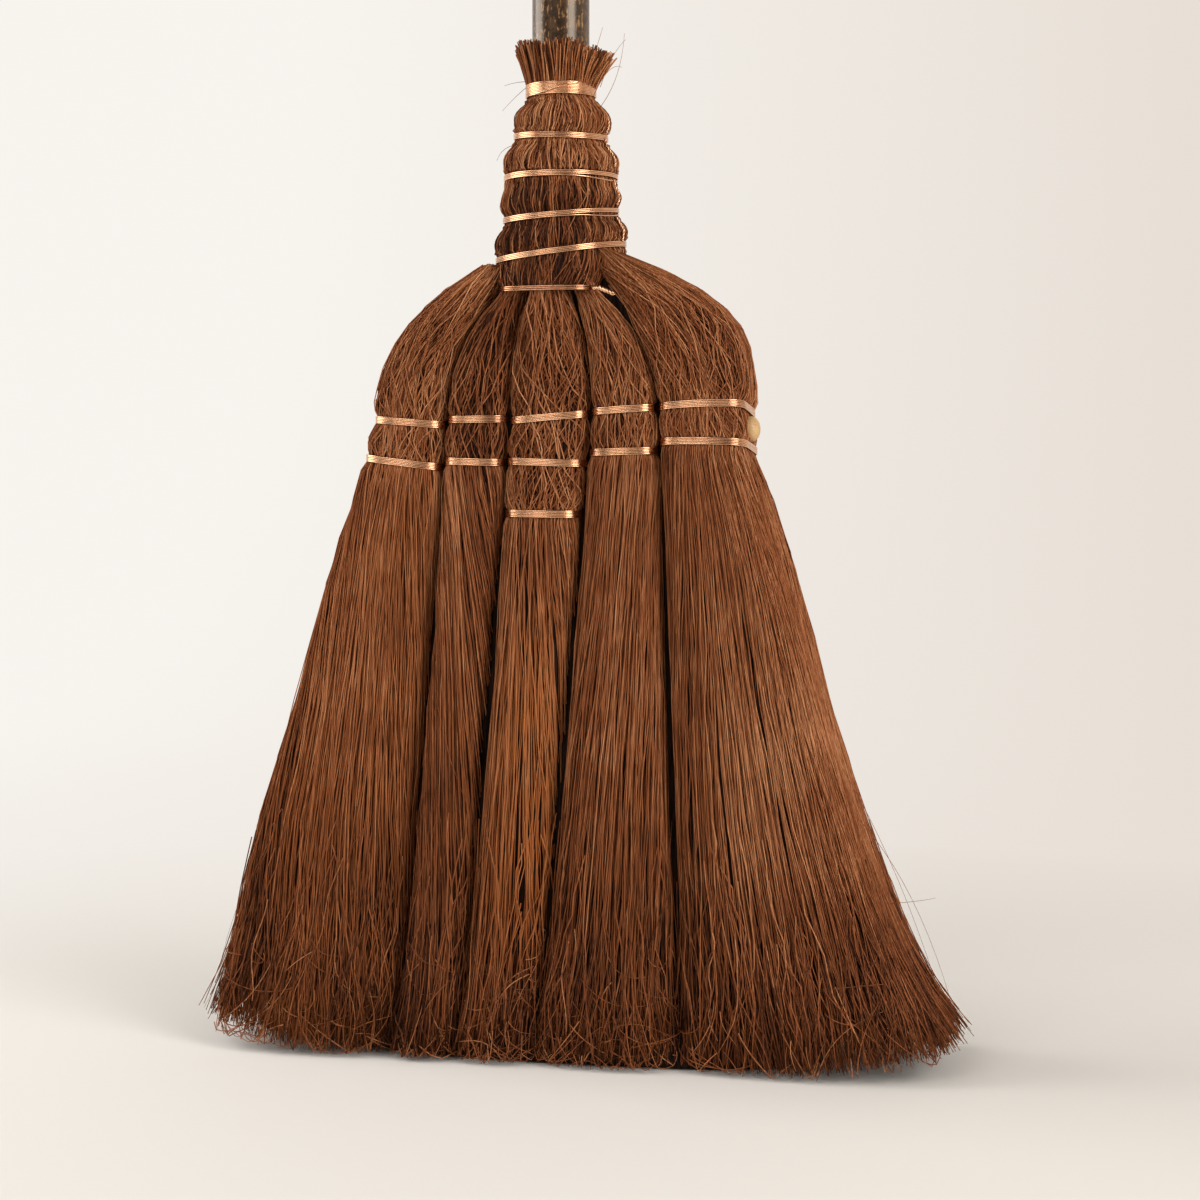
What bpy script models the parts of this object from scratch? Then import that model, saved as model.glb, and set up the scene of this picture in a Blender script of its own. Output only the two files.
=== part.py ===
"""Palm fibre broom: five fibre bundles, bound with copper wire, on a bamboo handle.

Run with: blender --background --python part.py
Metres, +Z up. The origin is on the floor under the handle's axis, and -Y is the front.
"""
import math
from collections import namedtuple

import bmesh
import bpy
from mathutils import Matrix, Vector

# A ring of fibre seen from above: its left and right ends in X, its half depth in Y and
# how square its corners are, from 2 for an ellipse upwards.
Section = namedtuple("Section", "left right depth fullness")
# The plane that a ring or a wire lies in: its height, and how it rises to the right and
# to the back.
Plane = namedtuple("Plane", "height lean tip")
# A copper binding: how far it lies above the one before it, and its plane's slopes.
Band = namedtuple("Band", "rise lean tip")
# Where two bundles meet, in X, at four heights, and the hollow beside the shoulder wire.
Seam = namedtuple("Seam", "neck shoulder bands tips hollow")
# A bundle: its two seams, its bindings, its half depths at the top, and how square it is there.
Bundle = namedtuple("Bundle", "name seams bands neck_depth shoulder_depth top_fullness")

# Clearances
CLEARANCE = 0.0003           # between pieces that touch
SEAM_GAP = 0.0006            # between neighbouring bundles
THROUGH = 0.010              # how far a cutter runs past what it cuts

# Handle
HANDLE_TOP = 1.300           # overall height of the broom
HANDLE_DIAMETER = 0.022      # at the neck
HANDLE_TOP_DIAMETER = 0.0205
HANDLE_FOOT_DEPTH = 0.016    # how far the handle runs down into the middle bundles
CUT_BEVEL = 0.0010           # edge of the handle's cut ends
JOINT_BELOW_TOP = 0.014      # the cane is cut just above a joint, which closes it
JOINT_SPACING = 0.175        # between the two highest joints
JOINT_SHORTENING = 0.94      # each internode towards the root is this much shorter
JOINT_RIDGE = 0.0007         # height of a joint's sheath ridge
JOINT_SWELLING = 0.0009      # height of the swelling over it
JOINT_CLEAR_OF_COLLAR = 0.060

# Neck, from its underside up
NECK_BASE = 0.300            # height of the neck's underside
NECK_BASE_DEPTH = 0.025
NECK_BANDS = (
    Band(0.0072, 0.115, 0.06),
    Band(0.0139, 0.065, 0.06),
    Band(0.0143, 0.0, 0.0),
    Band(0.0154, -0.037, 0.04),
    Band(0.0175, 0.0, 0.0),
)
NECK_BAND_FIBRE = (0.0133, 0.0105, 0.0101, 0.00635, 0.00175)   # thickness round the handle
NECK_BULGE_FIBRE = (0.0140, 0.0125, 0.0109, 0.0077)            # between the bindings
NECK_LIP_SHARE = 0.4                                           # of the bulge, at a groove's edge
NECK_ABOVE_TOP_BAND = 0.0040

# Collar of cut fibre ends
COLLAR_SLAB = 0.0040
COLLAR_STRANDS = 0.0094
COLLAR_BASE_FIBRE = 0.0030
COLLAR_FLARE = 0.0076        # thickness round the handle at the cut ends
COLLAR_SHIFT = 0.0020        # the cut ends lean to the right
COLLAR_CELLS = 18
COLLAR_STRAND_TAPER = 0.62

# Head
BAND_HEIGHT = 0.2270         # the lower binding of the left outer bundle
BAND_HALF_WIDTH = 0.0750
TIP_HALF_WIDTH = 0.1500
BAND_HALF_DEPTH = 0.0195
TIP_HALF_DEPTH = 0.0340
HEAD_JOIN_RISE = 0.0060      # where the shoulders would meet the neck, above its underside
LEFT_JOIN_WIDTH = 0.0256
RIGHT_JOIN_WIDTH = 0.0270
LEFT_SHOULDER_FULLNESS = 2.4
RIGHT_SHOULDER_FULLNESS = 4.0
SHOULDER_SOFTNESS = 1.1
SEAM_FULLNESS = 2.4          # how soon a seam reaches its place at the bindings
SHOULDER_WIRE_DROP = 0.0077  # of the shoulder wire below the neck's underside
HOLLOW_DROP = 0.0095         # of the hollows' middle below the neck's underside
HOLLOW_HALF_HEIGHT = 0.0090
BUNDLE_FULLNESS = 2.3
TIP_FULLNESS = 3.2
SHOULDER_WIRE_FULLNESS = 3.6
SEAMS = (
    Seam(-0.0170, -0.0205, -0.0435, -0.0650, 0.0030),
    Seam(-0.0070, -0.0090, -0.0195, -0.0420, 0.0),
    Seam(0.0050, 0.0065, 0.0125, -0.0090, 0.0),
    Seam(0.0150, 0.0165, 0.0395, 0.0490, 0.0045),
)
BUNDLES = (
    Bundle("left_outer", (None, 0), (Band(0.0, -0.125, 0.0), Band(0.0154, -0.084, 0.0)),
           0.0170, 0.0180, 2.6),
    Bundle("left_inner", (0, 1), (Band(0.0002, -0.034, 0.0), Band(0.0162, 0.0, 0.0)),
           0.0225, 0.0175, 3.0),
    Bundle("centre", (1, 2), (Band(-0.0195, -0.017, 0.0), Band(0.0195, -0.037, 0.0),
                              Band(0.0170, 0.077, 0.0)),
           0.0245, 0.0240, 3.4),
    Bundle("right_inner", (2, 3), (Band(0.0040, 0.025, 0.0), Band(0.0158, 0.057, 0.0)),
           0.0225, 0.0175, 3.0),
    Bundle("right_outer", (3, None), (Band(0.0057, -0.015, -0.115), Band(0.0137, 0.03, -0.13)),
           0.0170, 0.0180, 2.6),
)

# Free fibres
STRAND_LENGTH = 0.0830
STRAND_SLAB = 0.0120         # the slice of bundle that the strands grow from
STRAND_PITCH = 0.0102        # width of a cell at the floor, each of which holds two strands
STRAND_ROWS = 7
STRAND_TAPER = 0.50
TRIM_FLAT_HALF = 0.1050      # the cut is flat this far out, and rises beyond
LEFT_TRIM_RISE = 0.0080
RIGHT_TRIM_RISE = 0.0170

# Copper wire
WIRE_DIAMETER = 0.0007
WIRE_PITCH = 0.00115
BAND_TURNS = 2
TOP_BAND_TURNS = 4
GROOVE_DEPTH = 0.0012        # how far a binding draws a bundle in
GROOVE_LIP = 0.0012          # height of the slope at each edge of a groove
LIP_SHARE = 0.7              # how much of a groove's depth that slope regains
GROOVE_MARGIN = 0.0004       # of groove floor above and below the turns
TWIST_SIDE = 0.0009          # of the square that a twisted pair of wires fits
TWIST_TURN = 0.0042          # length of one turn of the pair
TWIST_STEPS = 6              # rings in one turn of the pair
TWIST_ANGLE = math.radians(-5.0)
TWIST_STUB = 0.0032
SHOULDER_TWIST_ANGLE = math.radians(-32.0)
SHOULDER_TWIST_WAY = Vector((0.8, -0.6, 0.0))
SHOULDER_TWIST = 0.0055

# Skewer and peg
SKEWER_DIAMETER = 0.0096
SKEWER_PROUD = 0.0030        # its right end stands out of the head
SKEWER_SHORT = 0.0010        # its left end lies inside the fibre
SKEWER_DOME = 0.0022
PEG_DIAMETER = 0.0040
PEG_BELOW_BAND = 0.0075      # under the fourth binding of the neck
PEG_FRONT_WALL = 0.0030      # of handle left in front of the peg's point
PEG_SHORT = 0.0010           # of its head below the fibre's surface

SIDES = 18                   # corners of a ring of fibre and of a turn of wire
BORE_SIDES = 18
DOWEL_SIDES = 16
FOOT_STEPS = 2               # rings from a bundle's foot to its lowest binding
SHOULDER_STEPS = 7           # rings from its highest binding to the neck
SHOULDER_STEP_CROWDING = 1.3
SMOOTH_ANGLE = math.radians(40.0)

WIRE_SEAT = CLEARANCE + WIRE_DIAMETER / 2
BUNDLE_FOOT = STRAND_LENGTH + STRAND_SLAB + CLEARANCE
BUNDLE_TOP = NECK_BASE - CLEARANCE
SHOULDER_WIRE_HEIGHT = NECK_BASE - SHOULDER_WIRE_DROP
HANDLE_FOOT = NECK_BASE - HANDLE_FOOT_DEPTH


# Materials

def finish(name, colour, roughness, metallic=0.0):
    """Makes a Principled material of a plain linear colour."""
    material = bpy.data.materials.new(name)
    material.use_nodes = True
    shader = material.node_tree.nodes["Principled BSDF"]
    shader.inputs["Base Color"].default_value = (*colour, 1.0)
    shader.inputs["Roughness"].default_value = roughness
    shader.inputs["Metallic"].default_value = metallic
    return material


# Helpers

def clear_scene():
    """Empties the scene of its objects."""
    for item in list(bpy.data.objects):
        bpy.data.objects.remove(item)


def add_object(name, mesh, material):
    """Puts a mesh in the scene as a smooth-shaded object."""
    mesh.materials.append(material)
    mesh.shade_smooth()
    mesh.set_sharp_from_angle(angle=SMOOTH_ANGLE)
    item = bpy.data.objects.new(name, mesh)
    bpy.context.collection.objects.link(item)
    return item


def close_mesh(name, shape):
    """Turns a bmesh into a mesh whose faces point out."""
    bmesh.ops.recalc_face_normals(shape, faces=shape.faces)
    mesh = bpy.data.meshes.new(name)
    shape.to_mesh(mesh)
    shape.free()
    return mesh


def loft(name, rings):
    """Joins closed rings of as many points each into one solid with flat ends."""
    shape = bmesh.new()
    loops = [[shape.verts.new(point) for point in ring] for ring in rings]
    for low, high in zip(loops, loops[1:]):
        count = len(low)
        for corner in range(count):
            after = (corner + 1) % count
            shape.faces.new((low[corner], low[after], high[after], high[corner]))
    shape.faces.new(loops[0])
    shape.faces.new(loops[-1])
    return close_mesh(name, shape)


def turned(name, profile, sides, place=None):
    """Turns a profile of (radius, distance) pairs round its axis and puts it in place."""
    rings = []
    for radius, distance in profile:
        ring = []
        for corner in range(sides):
            angle = math.tau * corner / sides
            point = Vector((radius * math.cos(angle), radius * math.sin(angle), distance))
            ring.append(place @ point if place else point)
        rings.append(ring)
    return loft(name, rings)


def add_cutter(name, mesh):
    """Adds a solid that only cuts, and leaves it out of the model."""
    cutter = bpy.data.objects.new(name, mesh)
    cutter.hide_render = True
    cutter.display_type = "WIRE"
    bpy.context.collection.objects.link(cutter)
    return cutter


def cut(target, cutter):
    """Takes the cutter's space out of the target."""
    modifier = target.modifiers.new(cutter.name, "BOOLEAN")
    modifier.operation = "DIFFERENCE"
    modifier.solver = "EXACT"
    modifier.object = cutter


# Rings of fibre

def grow(section, margin):
    """Moves a section's outline out by a margin."""
    return Section(section.left - margin, section.right + margin,
                   section.depth + margin, section.fullness)


def round_section(radius):
    """Gives a round section on the handle's axis."""
    return Section(-radius, radius, radius, 2.0)


def outline_point(section, plane, angle, lift=0.0):
    """Gives the point of a section's outline at an angle, in its sloping plane."""
    middle = (section.left + section.right) / 2
    reach = (section.right - section.left) / 2
    power = 2.0 / section.fullness
    cosine, sine = math.cos(angle), math.sin(angle)
    across = math.copysign(abs(cosine) ** power, cosine) * reach
    back = math.copysign(abs(sine) ** power, sine) * section.depth
    height = plane.height + plane.lean * across + plane.tip * back + lift
    return Vector((middle + across, back, height))


def ring(section, plane):
    """Gives the corners of a section in its plane."""
    return [outline_point(section, plane, math.tau * corner / SIDES)
            for corner in range(SIDES)]


def flat(height):
    """Gives a level plane."""
    return Plane(height, 0.0, 0.0)


def floor_half(turns):
    """Gives half the height of the groove floor that holds so many turns of wire."""
    return (turns * WIRE_PITCH + WIRE_DIAMETER) / 2 + GROOVE_MARGIN


def groove(floor, lip, plane, turns):
    """Gives the four rings of a groove: lip, floor, floor and lip."""
    half = floor_half(turns)
    steps = ((-half - GROOVE_LIP, lip), (-half, floor), (half, floor), (half + GROOVE_LIP, lip))
    return [ring(section, plane._replace(height=plane.height + step)) for step, section in steps]


# Shape of the head

def mix(first, second, share):
    """Goes from the first value to the second."""
    return first + (second - first) * share


def band_level():
    """Gives the height at which the head is narrowest."""
    return BAND_HEIGHT + BUNDLES[0].bands[1].rise


def edge_width(height, join_width, fullness):
    """Gives the head's half width: straight below the bindings, a round shoulder above."""
    level = band_level()
    if height <= level:
        return mix(TIP_HALF_WIDTH, BAND_HALF_WIDTH, height / level)
    rise = (height - level) / (NECK_BASE + HEAD_JOIN_RISE - level)
    share = (1.0 - min(rise, 1.0) ** fullness) ** SHOULDER_SOFTNESS
    return mix(join_width, BAND_HALF_WIDTH, share)


def seam_place(seam, height):
    """Gives a seam's place in X at a height."""
    level = band_level()
    if height >= SHOULDER_WIRE_HEIGHT:
        share = (height - SHOULDER_WIRE_HEIGHT) / SHOULDER_WIRE_DROP
        return mix(seam.shoulder, seam.neck, share)
    if height >= level:
        share = (height - level) / (SHOULDER_WIRE_HEIGHT - level)
        return mix(seam.shoulder, seam.bands, 1.0 - share ** SEAM_FULLNESS)
    return mix(seam.tips, seam.bands, height / level)


def hollow_width(seam, height):
    """Gives how far an outer bundle stands off the shoulder wire, which falls to nothing."""
    offset = (height - (NECK_BASE - HOLLOW_DROP)) / HOLLOW_HALF_HEIGHT
    return seam.hollow * max(0.0, 1.0 - offset * offset) ** 2


def bundle_sides(bundle, height):
    """Gives a bundle's left and right ends in X at a height."""
    left_seam, right_seam = bundle.seams
    if left_seam is None:
        seam = SEAMS[right_seam]
        left = -edge_width(height, LEFT_JOIN_WIDTH, LEFT_SHOULDER_FULLNESS)
        return left, seam_place(seam, height) - SEAM_GAP / 2 - hollow_width(seam, height)
    if right_seam is None:
        seam = SEAMS[left_seam]
        right = edge_width(height, RIGHT_JOIN_WIDTH, RIGHT_SHOULDER_FULLNESS)
        return seam_place(seam, height) + SEAM_GAP / 2 + hollow_width(seam, height), right
    return (seam_place(SEAMS[left_seam], height) + SEAM_GAP / 2,
            seam_place(SEAMS[right_seam], height) - SEAM_GAP / 2)


def bundle_section(bundle, height):
    """Gives a bundle's section at a height, without its grooves."""
    level = band_level()
    left, right = bundle_sides(bundle, height)
    if height <= level:
        share = height / level
        depth = mix(TIP_HALF_DEPTH, BAND_HALF_DEPTH, share)
        return Section(left, right, depth, mix(TIP_FULLNESS, BUNDLE_FULLNESS, share))
    if height <= SHOULDER_WIRE_HEIGHT:
        share = (height - level) / (SHOULDER_WIRE_HEIGHT - level)
        depth = mix(BAND_HALF_DEPTH, bundle.shoulder_depth, share ** 2)
        fullness = mix(BUNDLE_FULLNESS, bundle.top_fullness, share ** 2)
    else:
        share = (height - SHOULDER_WIRE_HEIGHT) / SHOULDER_WIRE_DROP
        depth = mix(bundle.shoulder_depth, bundle.neck_depth, share)
        fullness = bundle.top_fullness
    return Section(left, right, depth, fullness)


def band_planes(bundle):
    """Gives the planes of a bundle's bindings, from the lowest up."""
    height = BAND_HEIGHT
    planes = []
    for band in bundle.bands:
        height += band.rise
        planes.append(Plane(height, band.lean, band.tip))
    return planes


def bundle_groove_floor(bundle, plane):
    """Gives the section that a binding draws its bundle in to."""
    return grow(bundle_section(bundle, plane.height), -GROOVE_DEPTH)


def holds_shoulder_wire(bundle):
    """Says whether the shoulder wire goes round this bundle."""
    return None not in bundle.seams


def between(low, high):
    """Gives the plane midway between two planes."""
    return Plane(*(mix(first, second, 0.5) for first, second in zip(low, high)))


def shoulder_levels(bundle, start):
    """Gives the heights and sections from a height up to the neck, in order."""
    wire_edge = floor_half(BAND_TURNS)
    wrapped = holds_shoulder_wire(bundle)
    levels = []
    for step in range(1, SHOULDER_STEPS + 1):
        share = 1.0 - (1.0 - step / SHOULDER_STEPS) ** SHOULDER_STEP_CROWDING
        height = mix(start, BUNDLE_TOP, share)
        if not wrapped or abs(height - SHOULDER_WIRE_HEIGHT) > wire_edge + GROOVE_LIP:
            levels.append((height, bundle_section(bundle, height)))
    if wrapped:
        floor = bundle_section(bundle, SHOULDER_WIRE_HEIGHT)
        levels.append((SHOULDER_WIRE_HEIGHT - wire_edge, floor))
        levels.append((SHOULDER_WIRE_HEIGHT + wire_edge, floor))
    return sorted(levels)


def bundle_rings(bundle):
    """Gives a bundle's rings from its foot up, with a groove for each binding."""
    planes = band_planes(bundle)
    edge = floor_half(BAND_TURNS) + GROOVE_LIP
    rings = []
    for step in range(FOOT_STEPS):
        height = mix(BUNDLE_FOOT, planes[0].height - edge, step / FOOT_STEPS)
        rings.append(ring(bundle_section(bundle, height), flat(height)))
    for index, plane in enumerate(planes):
        floor = bundle_groove_floor(bundle, plane)
        rings += groove(floor, grow(floor, GROOVE_DEPTH * LIP_SHARE), plane, BAND_TURNS)
        if index + 1 < len(planes):
            middle = between(plane, planes[index + 1])
            rings.append(ring(bundle_section(bundle, middle.height), middle))
    for height, section in shoulder_levels(bundle, planes[-1].height + edge):
        rings.append(ring(section, flat(height)))
    return rings


# Copper wire

def wound_wire(name, section, plane, turns, material):
    """Winds one unbroken wire round a section, and prints its least gap to itself."""
    path = grow(section, WIRE_SEAT)
    start = SIDES // 4
    rise = turns * WIRE_PITCH
    points = []
    for step in range(turns * SIDES + 1):
        angle = math.tau * (start + step) / SIDES
        lift = rise * step / (turns * SIDES) - rise / 2
        points.append(outline_point(path, plane, angle, lift))
    gap = min((points[low] - points[high]).length
              for low in range(len(points))
              for high in range(low + SIDES // 2, len(points))) - WIRE_DIAMETER
    print(f"{name}: least gap to itself {gap * 1000:.2f} mm")
    curve = bpy.data.curves.new(name, "CURVE")
    curve.dimensions = "3D"
    curve.bevel_depth = WIRE_DIAMETER / 2
    curve.bevel_resolution = 0
    curve.use_fill_caps = True
    spline = curve.splines.new("POLY")
    spline.points.add(len(points) - 1)
    for point, place in zip(spline.points, points):
        point.co = (*place, 1.0)
    curve.materials.append(material)
    item = bpy.data.objects.new(name, curve)
    bpy.context.collection.objects.link(item)
    return item


def twisted_pair(name, path, material):
    """Makes a short pair of wires twisted together, as a square rod that turns."""
    path = [Vector(point) for point in path]
    lengths = [0.0]
    for low, high in zip(path, path[1:]):
        lengths.append(lengths[-1] + (high - low).length)
    count = max(TWIST_STEPS, round(lengths[-1] / TWIST_TURN * TWIST_STEPS))
    rings = []
    for step in range(count + 1):
        distance = lengths[-1] * step / count
        leg = max(index for index, length in enumerate(lengths[:-1]) if length <= distance)
        share = (distance - lengths[leg]) / (lengths[leg + 1] - lengths[leg])
        middle = path[leg].lerp(path[leg + 1], share)
        along = (path[leg + 1] - path[leg]).normalized()
        side = along.cross(Vector((0.0, 1.0, 0.0))).normalized()
        other = along.cross(side)
        turn = math.tau * distance / TWIST_TURN
        corners = []
        for corner in range(4):
            angle = turn + math.tau * corner / 4
            offset = side * math.cos(angle) + other * math.sin(angle)
            corners.append(middle + offset * TWIST_SIDE * math.sqrt(0.5))
        rings.append(corners)
    return add_object(name, loft(name, rings), material)


# Neck and collar

def neck_band_planes():
    """Gives the planes of the neck's bindings, from the lowest up."""
    height = NECK_BASE
    planes = []
    for band in NECK_BANDS:
        height += band.rise
        planes.append(Plane(height, band.lean, band.tip))
    return planes


def neck_floor(index):
    """Gives the section that one of the neck's bindings draws the fibre in to."""
    return round_section(HANDLE_DIAMETER / 2 + NECK_BAND_FIBRE[index])


def neck_lip(index):
    """Gives the section at the edges of one of the neck's grooves."""
    if index == len(NECK_BANDS) - 1:
        return grow(neck_floor(index), NECK_BAND_FIBRE[index] * NECK_LIP_SHARE)
    reach = NECK_BULGE_FIBRE[index] - NECK_BAND_FIBRE[index]
    return grow(neck_floor(index), reach * NECK_LIP_SHARE)


def neck_bulge(index):
    """Gives the section and plane of the bulge above one of the neck's bindings."""
    planes = neck_band_planes()
    radius = HANDLE_DIAMETER / 2 + NECK_BULGE_FIBRE[index]
    return round_section(radius), between(planes[index], planes[index + 1])


def neck_top():
    """Gives the height of the neck's upper end."""
    return neck_band_planes()[-1].height + NECK_ABOVE_TOP_BAND


def band_turns(index):
    """Gives the turns of one of the neck's bindings, of which the top one is wide."""
    return TOP_BAND_TURNS if index == len(NECK_BANDS) - 1 else BAND_TURNS


def make_neck(material):
    """Makes the fibre wrapped round the handle, drawn in at each binding."""
    base = Section(-edge_width(NECK_BASE, LEFT_JOIN_WIDTH, LEFT_SHOULDER_FULLNESS),
                   edge_width(NECK_BASE, RIGHT_JOIN_WIDTH, RIGHT_SHOULDER_FULLNESS),
                   NECK_BASE_DEPTH, BUNDLE_FULLNESS)
    rings = [ring(base, flat(NECK_BASE))]
    planes = neck_band_planes()
    for index, plane in enumerate(planes):
        rings += groove(neck_floor(index), neck_lip(index), plane, band_turns(index))
        if index + 1 < len(planes):
            rings.append(ring(*neck_bulge(index)))
    rings[-1] = ring(neck_lip(len(planes) - 1), flat(neck_top()))
    return add_object("neck_fibre", loft("neck_fibre", rings), material)


def tufts(name, slab, tips, closed_round, material):
    """Makes a slab with two three-sided strands on each cell of its grid.

    slab and tips are functions of a grid place. slab gives a point of the slab's strand
    side, and one of its far side; tips gives where that place is at the strands' ends.
    """
    columns, rows, near, far = slab
    shape = bmesh.new()
    across = columns if closed_round else columns + 1
    grid = [[shape.verts.new(near(i, j)) for i in range(across)] for j in range(rows + 1)]

    def strand(corners):
        """Draws a cell's corner triangle out to its narrower, level end."""
        ends = [tips(i, j) for i, j in corners]
        middle = sum(ends, Vector()) / 3
        taper = STRAND_TAPER if not closed_round else COLLAR_STRAND_TAPER
        drawn = [middle + (end - middle) * taper for end in ends]
        tip = [shape.verts.new((end.x, end.y, middle.z)) for end in drawn]
        base = [grid[j][i % across] for i, j in corners]
        for one, two in ((0, 1), (1, 2), (2, 0)):
            shape.faces.new((base[one], base[two], tip[two], tip[one]))
        shape.faces.new(tip)

    for j in range(rows):
        for i in range(columns):
            strand(((i, j), (i + 1, j), (i + 1, j + 1)))
            strand(((i, j), (i + 1, j + 1), (i, j + 1)))
    if closed_round:
        loops = [[(i, 0) for i in range(columns)], [(i, rows) for i in range(columns)]]
    else:
        loop = [(i, 0) for i in range(columns)] + [(columns, j) for j in range(rows)]
        loop += [(i, rows) for i in range(columns, 0, -1)] + [(0, j) for j in range(rows, 0, -1)]
        loops = [loop]
    backs = []
    for loop in loops:
        back = [shape.verts.new(far(i, j)) for i, j in loop]
        count = len(loop)
        for step in range(count):
            after = (step + 1) % count
            (i, j), (k, m) = loop[step], loop[after]
            shape.faces.new((grid[j][i], grid[m][k], back[after], back[step]))
        backs.append(back)
    if closed_round:
        inner, outer = backs
        for step in range(columns):
            after = (step + 1) % columns
            shape.faces.new((inner[step], inner[after], outer[after], outer[step]))
    else:
        shape.faces.new(backs[0])
    return add_object(name, close_mesh(name, shape), material)


def collar_point(step, row, height, thickness, shift):
    """Gives a point of the collar: row 0 lies on the handle, row 1 is the outside."""
    angle = math.tau * step / COLLAR_CELLS
    inner = HANDLE_DIAMETER / 2 + CLEARANCE / math.cos(math.pi / COLLAR_CELLS)
    inner /= math.cos(math.pi / COLLAR_CELLS)
    radius = inner + row * thickness
    return Vector((radius * math.cos(angle) + shift * row, radius * math.sin(angle), height))


def make_collar(material):
    """Makes the flared crown of cut fibre ends above the top binding."""
    foot = neck_top() + CLEARANCE
    base = foot + COLLAR_SLAB
    top = base + COLLAR_STRANDS

    def near(i, j):
        """Gives the slab's upper side."""
        return collar_point(i, j, base, COLLAR_BASE_FIBRE, 0.0)

    def far(i, j):
        """Gives the slab's underside."""
        return collar_point(i, j, foot, NECK_BAND_FIBRE[-1], 0.0)

    def tips(i, j):
        """Gives the cut ends, which lean out."""
        return collar_point(i, j, top, COLLAR_FLARE, COLLAR_SHIFT)

    return tufts("collar_fibre", (COLLAR_CELLS, 1, near, far), tips, True, material)


# Bundles and their free fibres

def trim_height(across):
    """Gives the height of the cut ends: on the floor, and rising at both sides."""
    beyond = (abs(across) - TRIM_FLAT_HALF) / (TIP_HALF_WIDTH - TRIM_FLAT_HALF)
    rise = RIGHT_TRIM_RISE if across > 0 else LEFT_TRIM_RISE
    return rise * max(0.0, beyond) ** 2


def cell_place(section, column, row, columns, height):
    """Maps a square grid onto a section, so that the grid's rim is the outline."""
    across = 2.0 * column / columns - 1.0
    back = 2.0 * row / STRAND_ROWS - 1.0
    share = max(abs(across), abs(back))
    if share == 0.0:
        return Vector(((section.left + section.right) / 2, 0.0, height))
    angle = math.atan2(back, across)
    rim = outline_point(section, flat(height), angle)
    middle = (section.left + section.right) / 2
    return Vector((middle + (rim.x - middle) * share, rim.y * share, height))


def make_free_fibres(bundle, material):
    """Makes a bundle's free fibres: a slice of the bundle with strands down to the floor."""
    tip_section = bundle_section(bundle, 0.0)
    columns = max(2, round((tip_section.right - tip_section.left) / STRAND_PITCH))

    def near(i, j):
        """Gives the slab's underside."""
        return cell_place(bundle_section(bundle, STRAND_LENGTH), i, j, columns, STRAND_LENGTH)

    def far(i, j):
        """Gives the slab's top."""
        top = STRAND_LENGTH + STRAND_SLAB
        return cell_place(bundle_section(bundle, top), i, j, columns, top)

    def tips(i, j):
        """Gives the cut ends."""
        place = cell_place(tip_section, i, j, columns, 0.0)
        place.z = trim_height(place.x)
        return place

    slab = (columns, STRAND_ROWS, near, far)
    return tufts(f"{bundle.name}_fibres", slab, tips, False, material)


def make_bundle(bundle, material, wire):
    """Makes a bundle's bound body, its free fibres and its bindings."""
    name = f"{bundle.name}_bundle"
    body = add_object(name, loft(name, bundle_rings(bundle)), material)
    make_free_fibres(bundle, material)
    names = ("lower", "upper") if len(bundle.bands) == 2 else ("third", "lower", "upper")
    for label, plane in zip(names, band_planes(bundle)):
        wound_wire(f"{bundle.name}_{label}_wire", bundle_groove_floor(bundle, plane), plane,
                   BAND_TURNS, wire)
    return body


# Handle, skewer and peg

def handle_radius(height):
    """Gives the cane's radius between its joints, which falls towards the top."""
    share = max(0.0, (height - NECK_BASE) / (HANDLE_TOP - NECK_BASE))
    return mix(HANDLE_DIAMETER, HANDLE_TOP_DIAMETER, share) / 2


def joint_heights():
    """Gives the heights of the cane's joints, from the top one down."""
    lowest = neck_top() + COLLAR_SLAB + COLLAR_STRANDS + JOINT_CLEAR_OF_COLLAR
    height = HANDLE_TOP - JOINT_BELOW_TOP
    spacing = JOINT_SPACING
    heights = []
    while height > lowest:
        heights.append(height)
        height -= spacing
        spacing *= JOINT_SHORTENING
    return heights


def make_handle(material):
    """Makes the bamboo cane: a sheath ridge and a swelling at each joint."""
    profile = [(handle_radius(HANDLE_FOOT) - CUT_BEVEL, HANDLE_FOOT),
               (handle_radius(HANDLE_FOOT), HANDLE_FOOT + CUT_BEVEL),
               (handle_radius(NECK_BASE), neck_top() + COLLAR_SLAB + COLLAR_STRANDS)]
    joint = ((-0.0050, 0.0), (-0.0012, 0.3 * JOINT_RIDGE), (-0.0006, JOINT_RIDGE),
             (0.0002, 0.1 * JOINT_RIDGE), (0.0014, JOINT_SWELLING), (0.0050, 0.0))
    for height in reversed(joint_heights()):
        for step, rise in joint:
            profile.append((handle_radius(height + step) + rise, height + step))
    profile += [(handle_radius(HANDLE_TOP), HANDLE_TOP - CUT_BEVEL),
                (handle_radius(HANDLE_TOP) - CUT_BEVEL, HANDLE_TOP)]
    return add_object("handle", turned("handle", profile, BORE_SIDES), material)


def skewer_line():
    """Gives the skewer's ends in X and its axis: midway between the outer bundles' bindings."""
    left, right = BUNDLES[0], BUNDLES[-1]
    places = []
    for bundle in (left, right):
        low, high = [plane.height for plane in band_planes(bundle)]
        middle = mix(low, high, 0.5)
        section = bundle_section(bundle, middle)
        places.append(Vector(((section.left + section.right) / 2, 0.0, middle)))
    along = (places[1] - places[0]).normalized()
    start = bundle_section(left, places[0].z).left + SKEWER_SHORT
    end = bundle_section(right, places[1].z).right + SKEWER_PROUD
    foot = places[0] + along * ((start - places[0].x) / along.x)
    length = (end - start) / along.x
    turn = along.to_track_quat("Z", "Y").to_matrix().to_4x4()
    return Matrix.Translation(foot) @ turn, length


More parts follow.
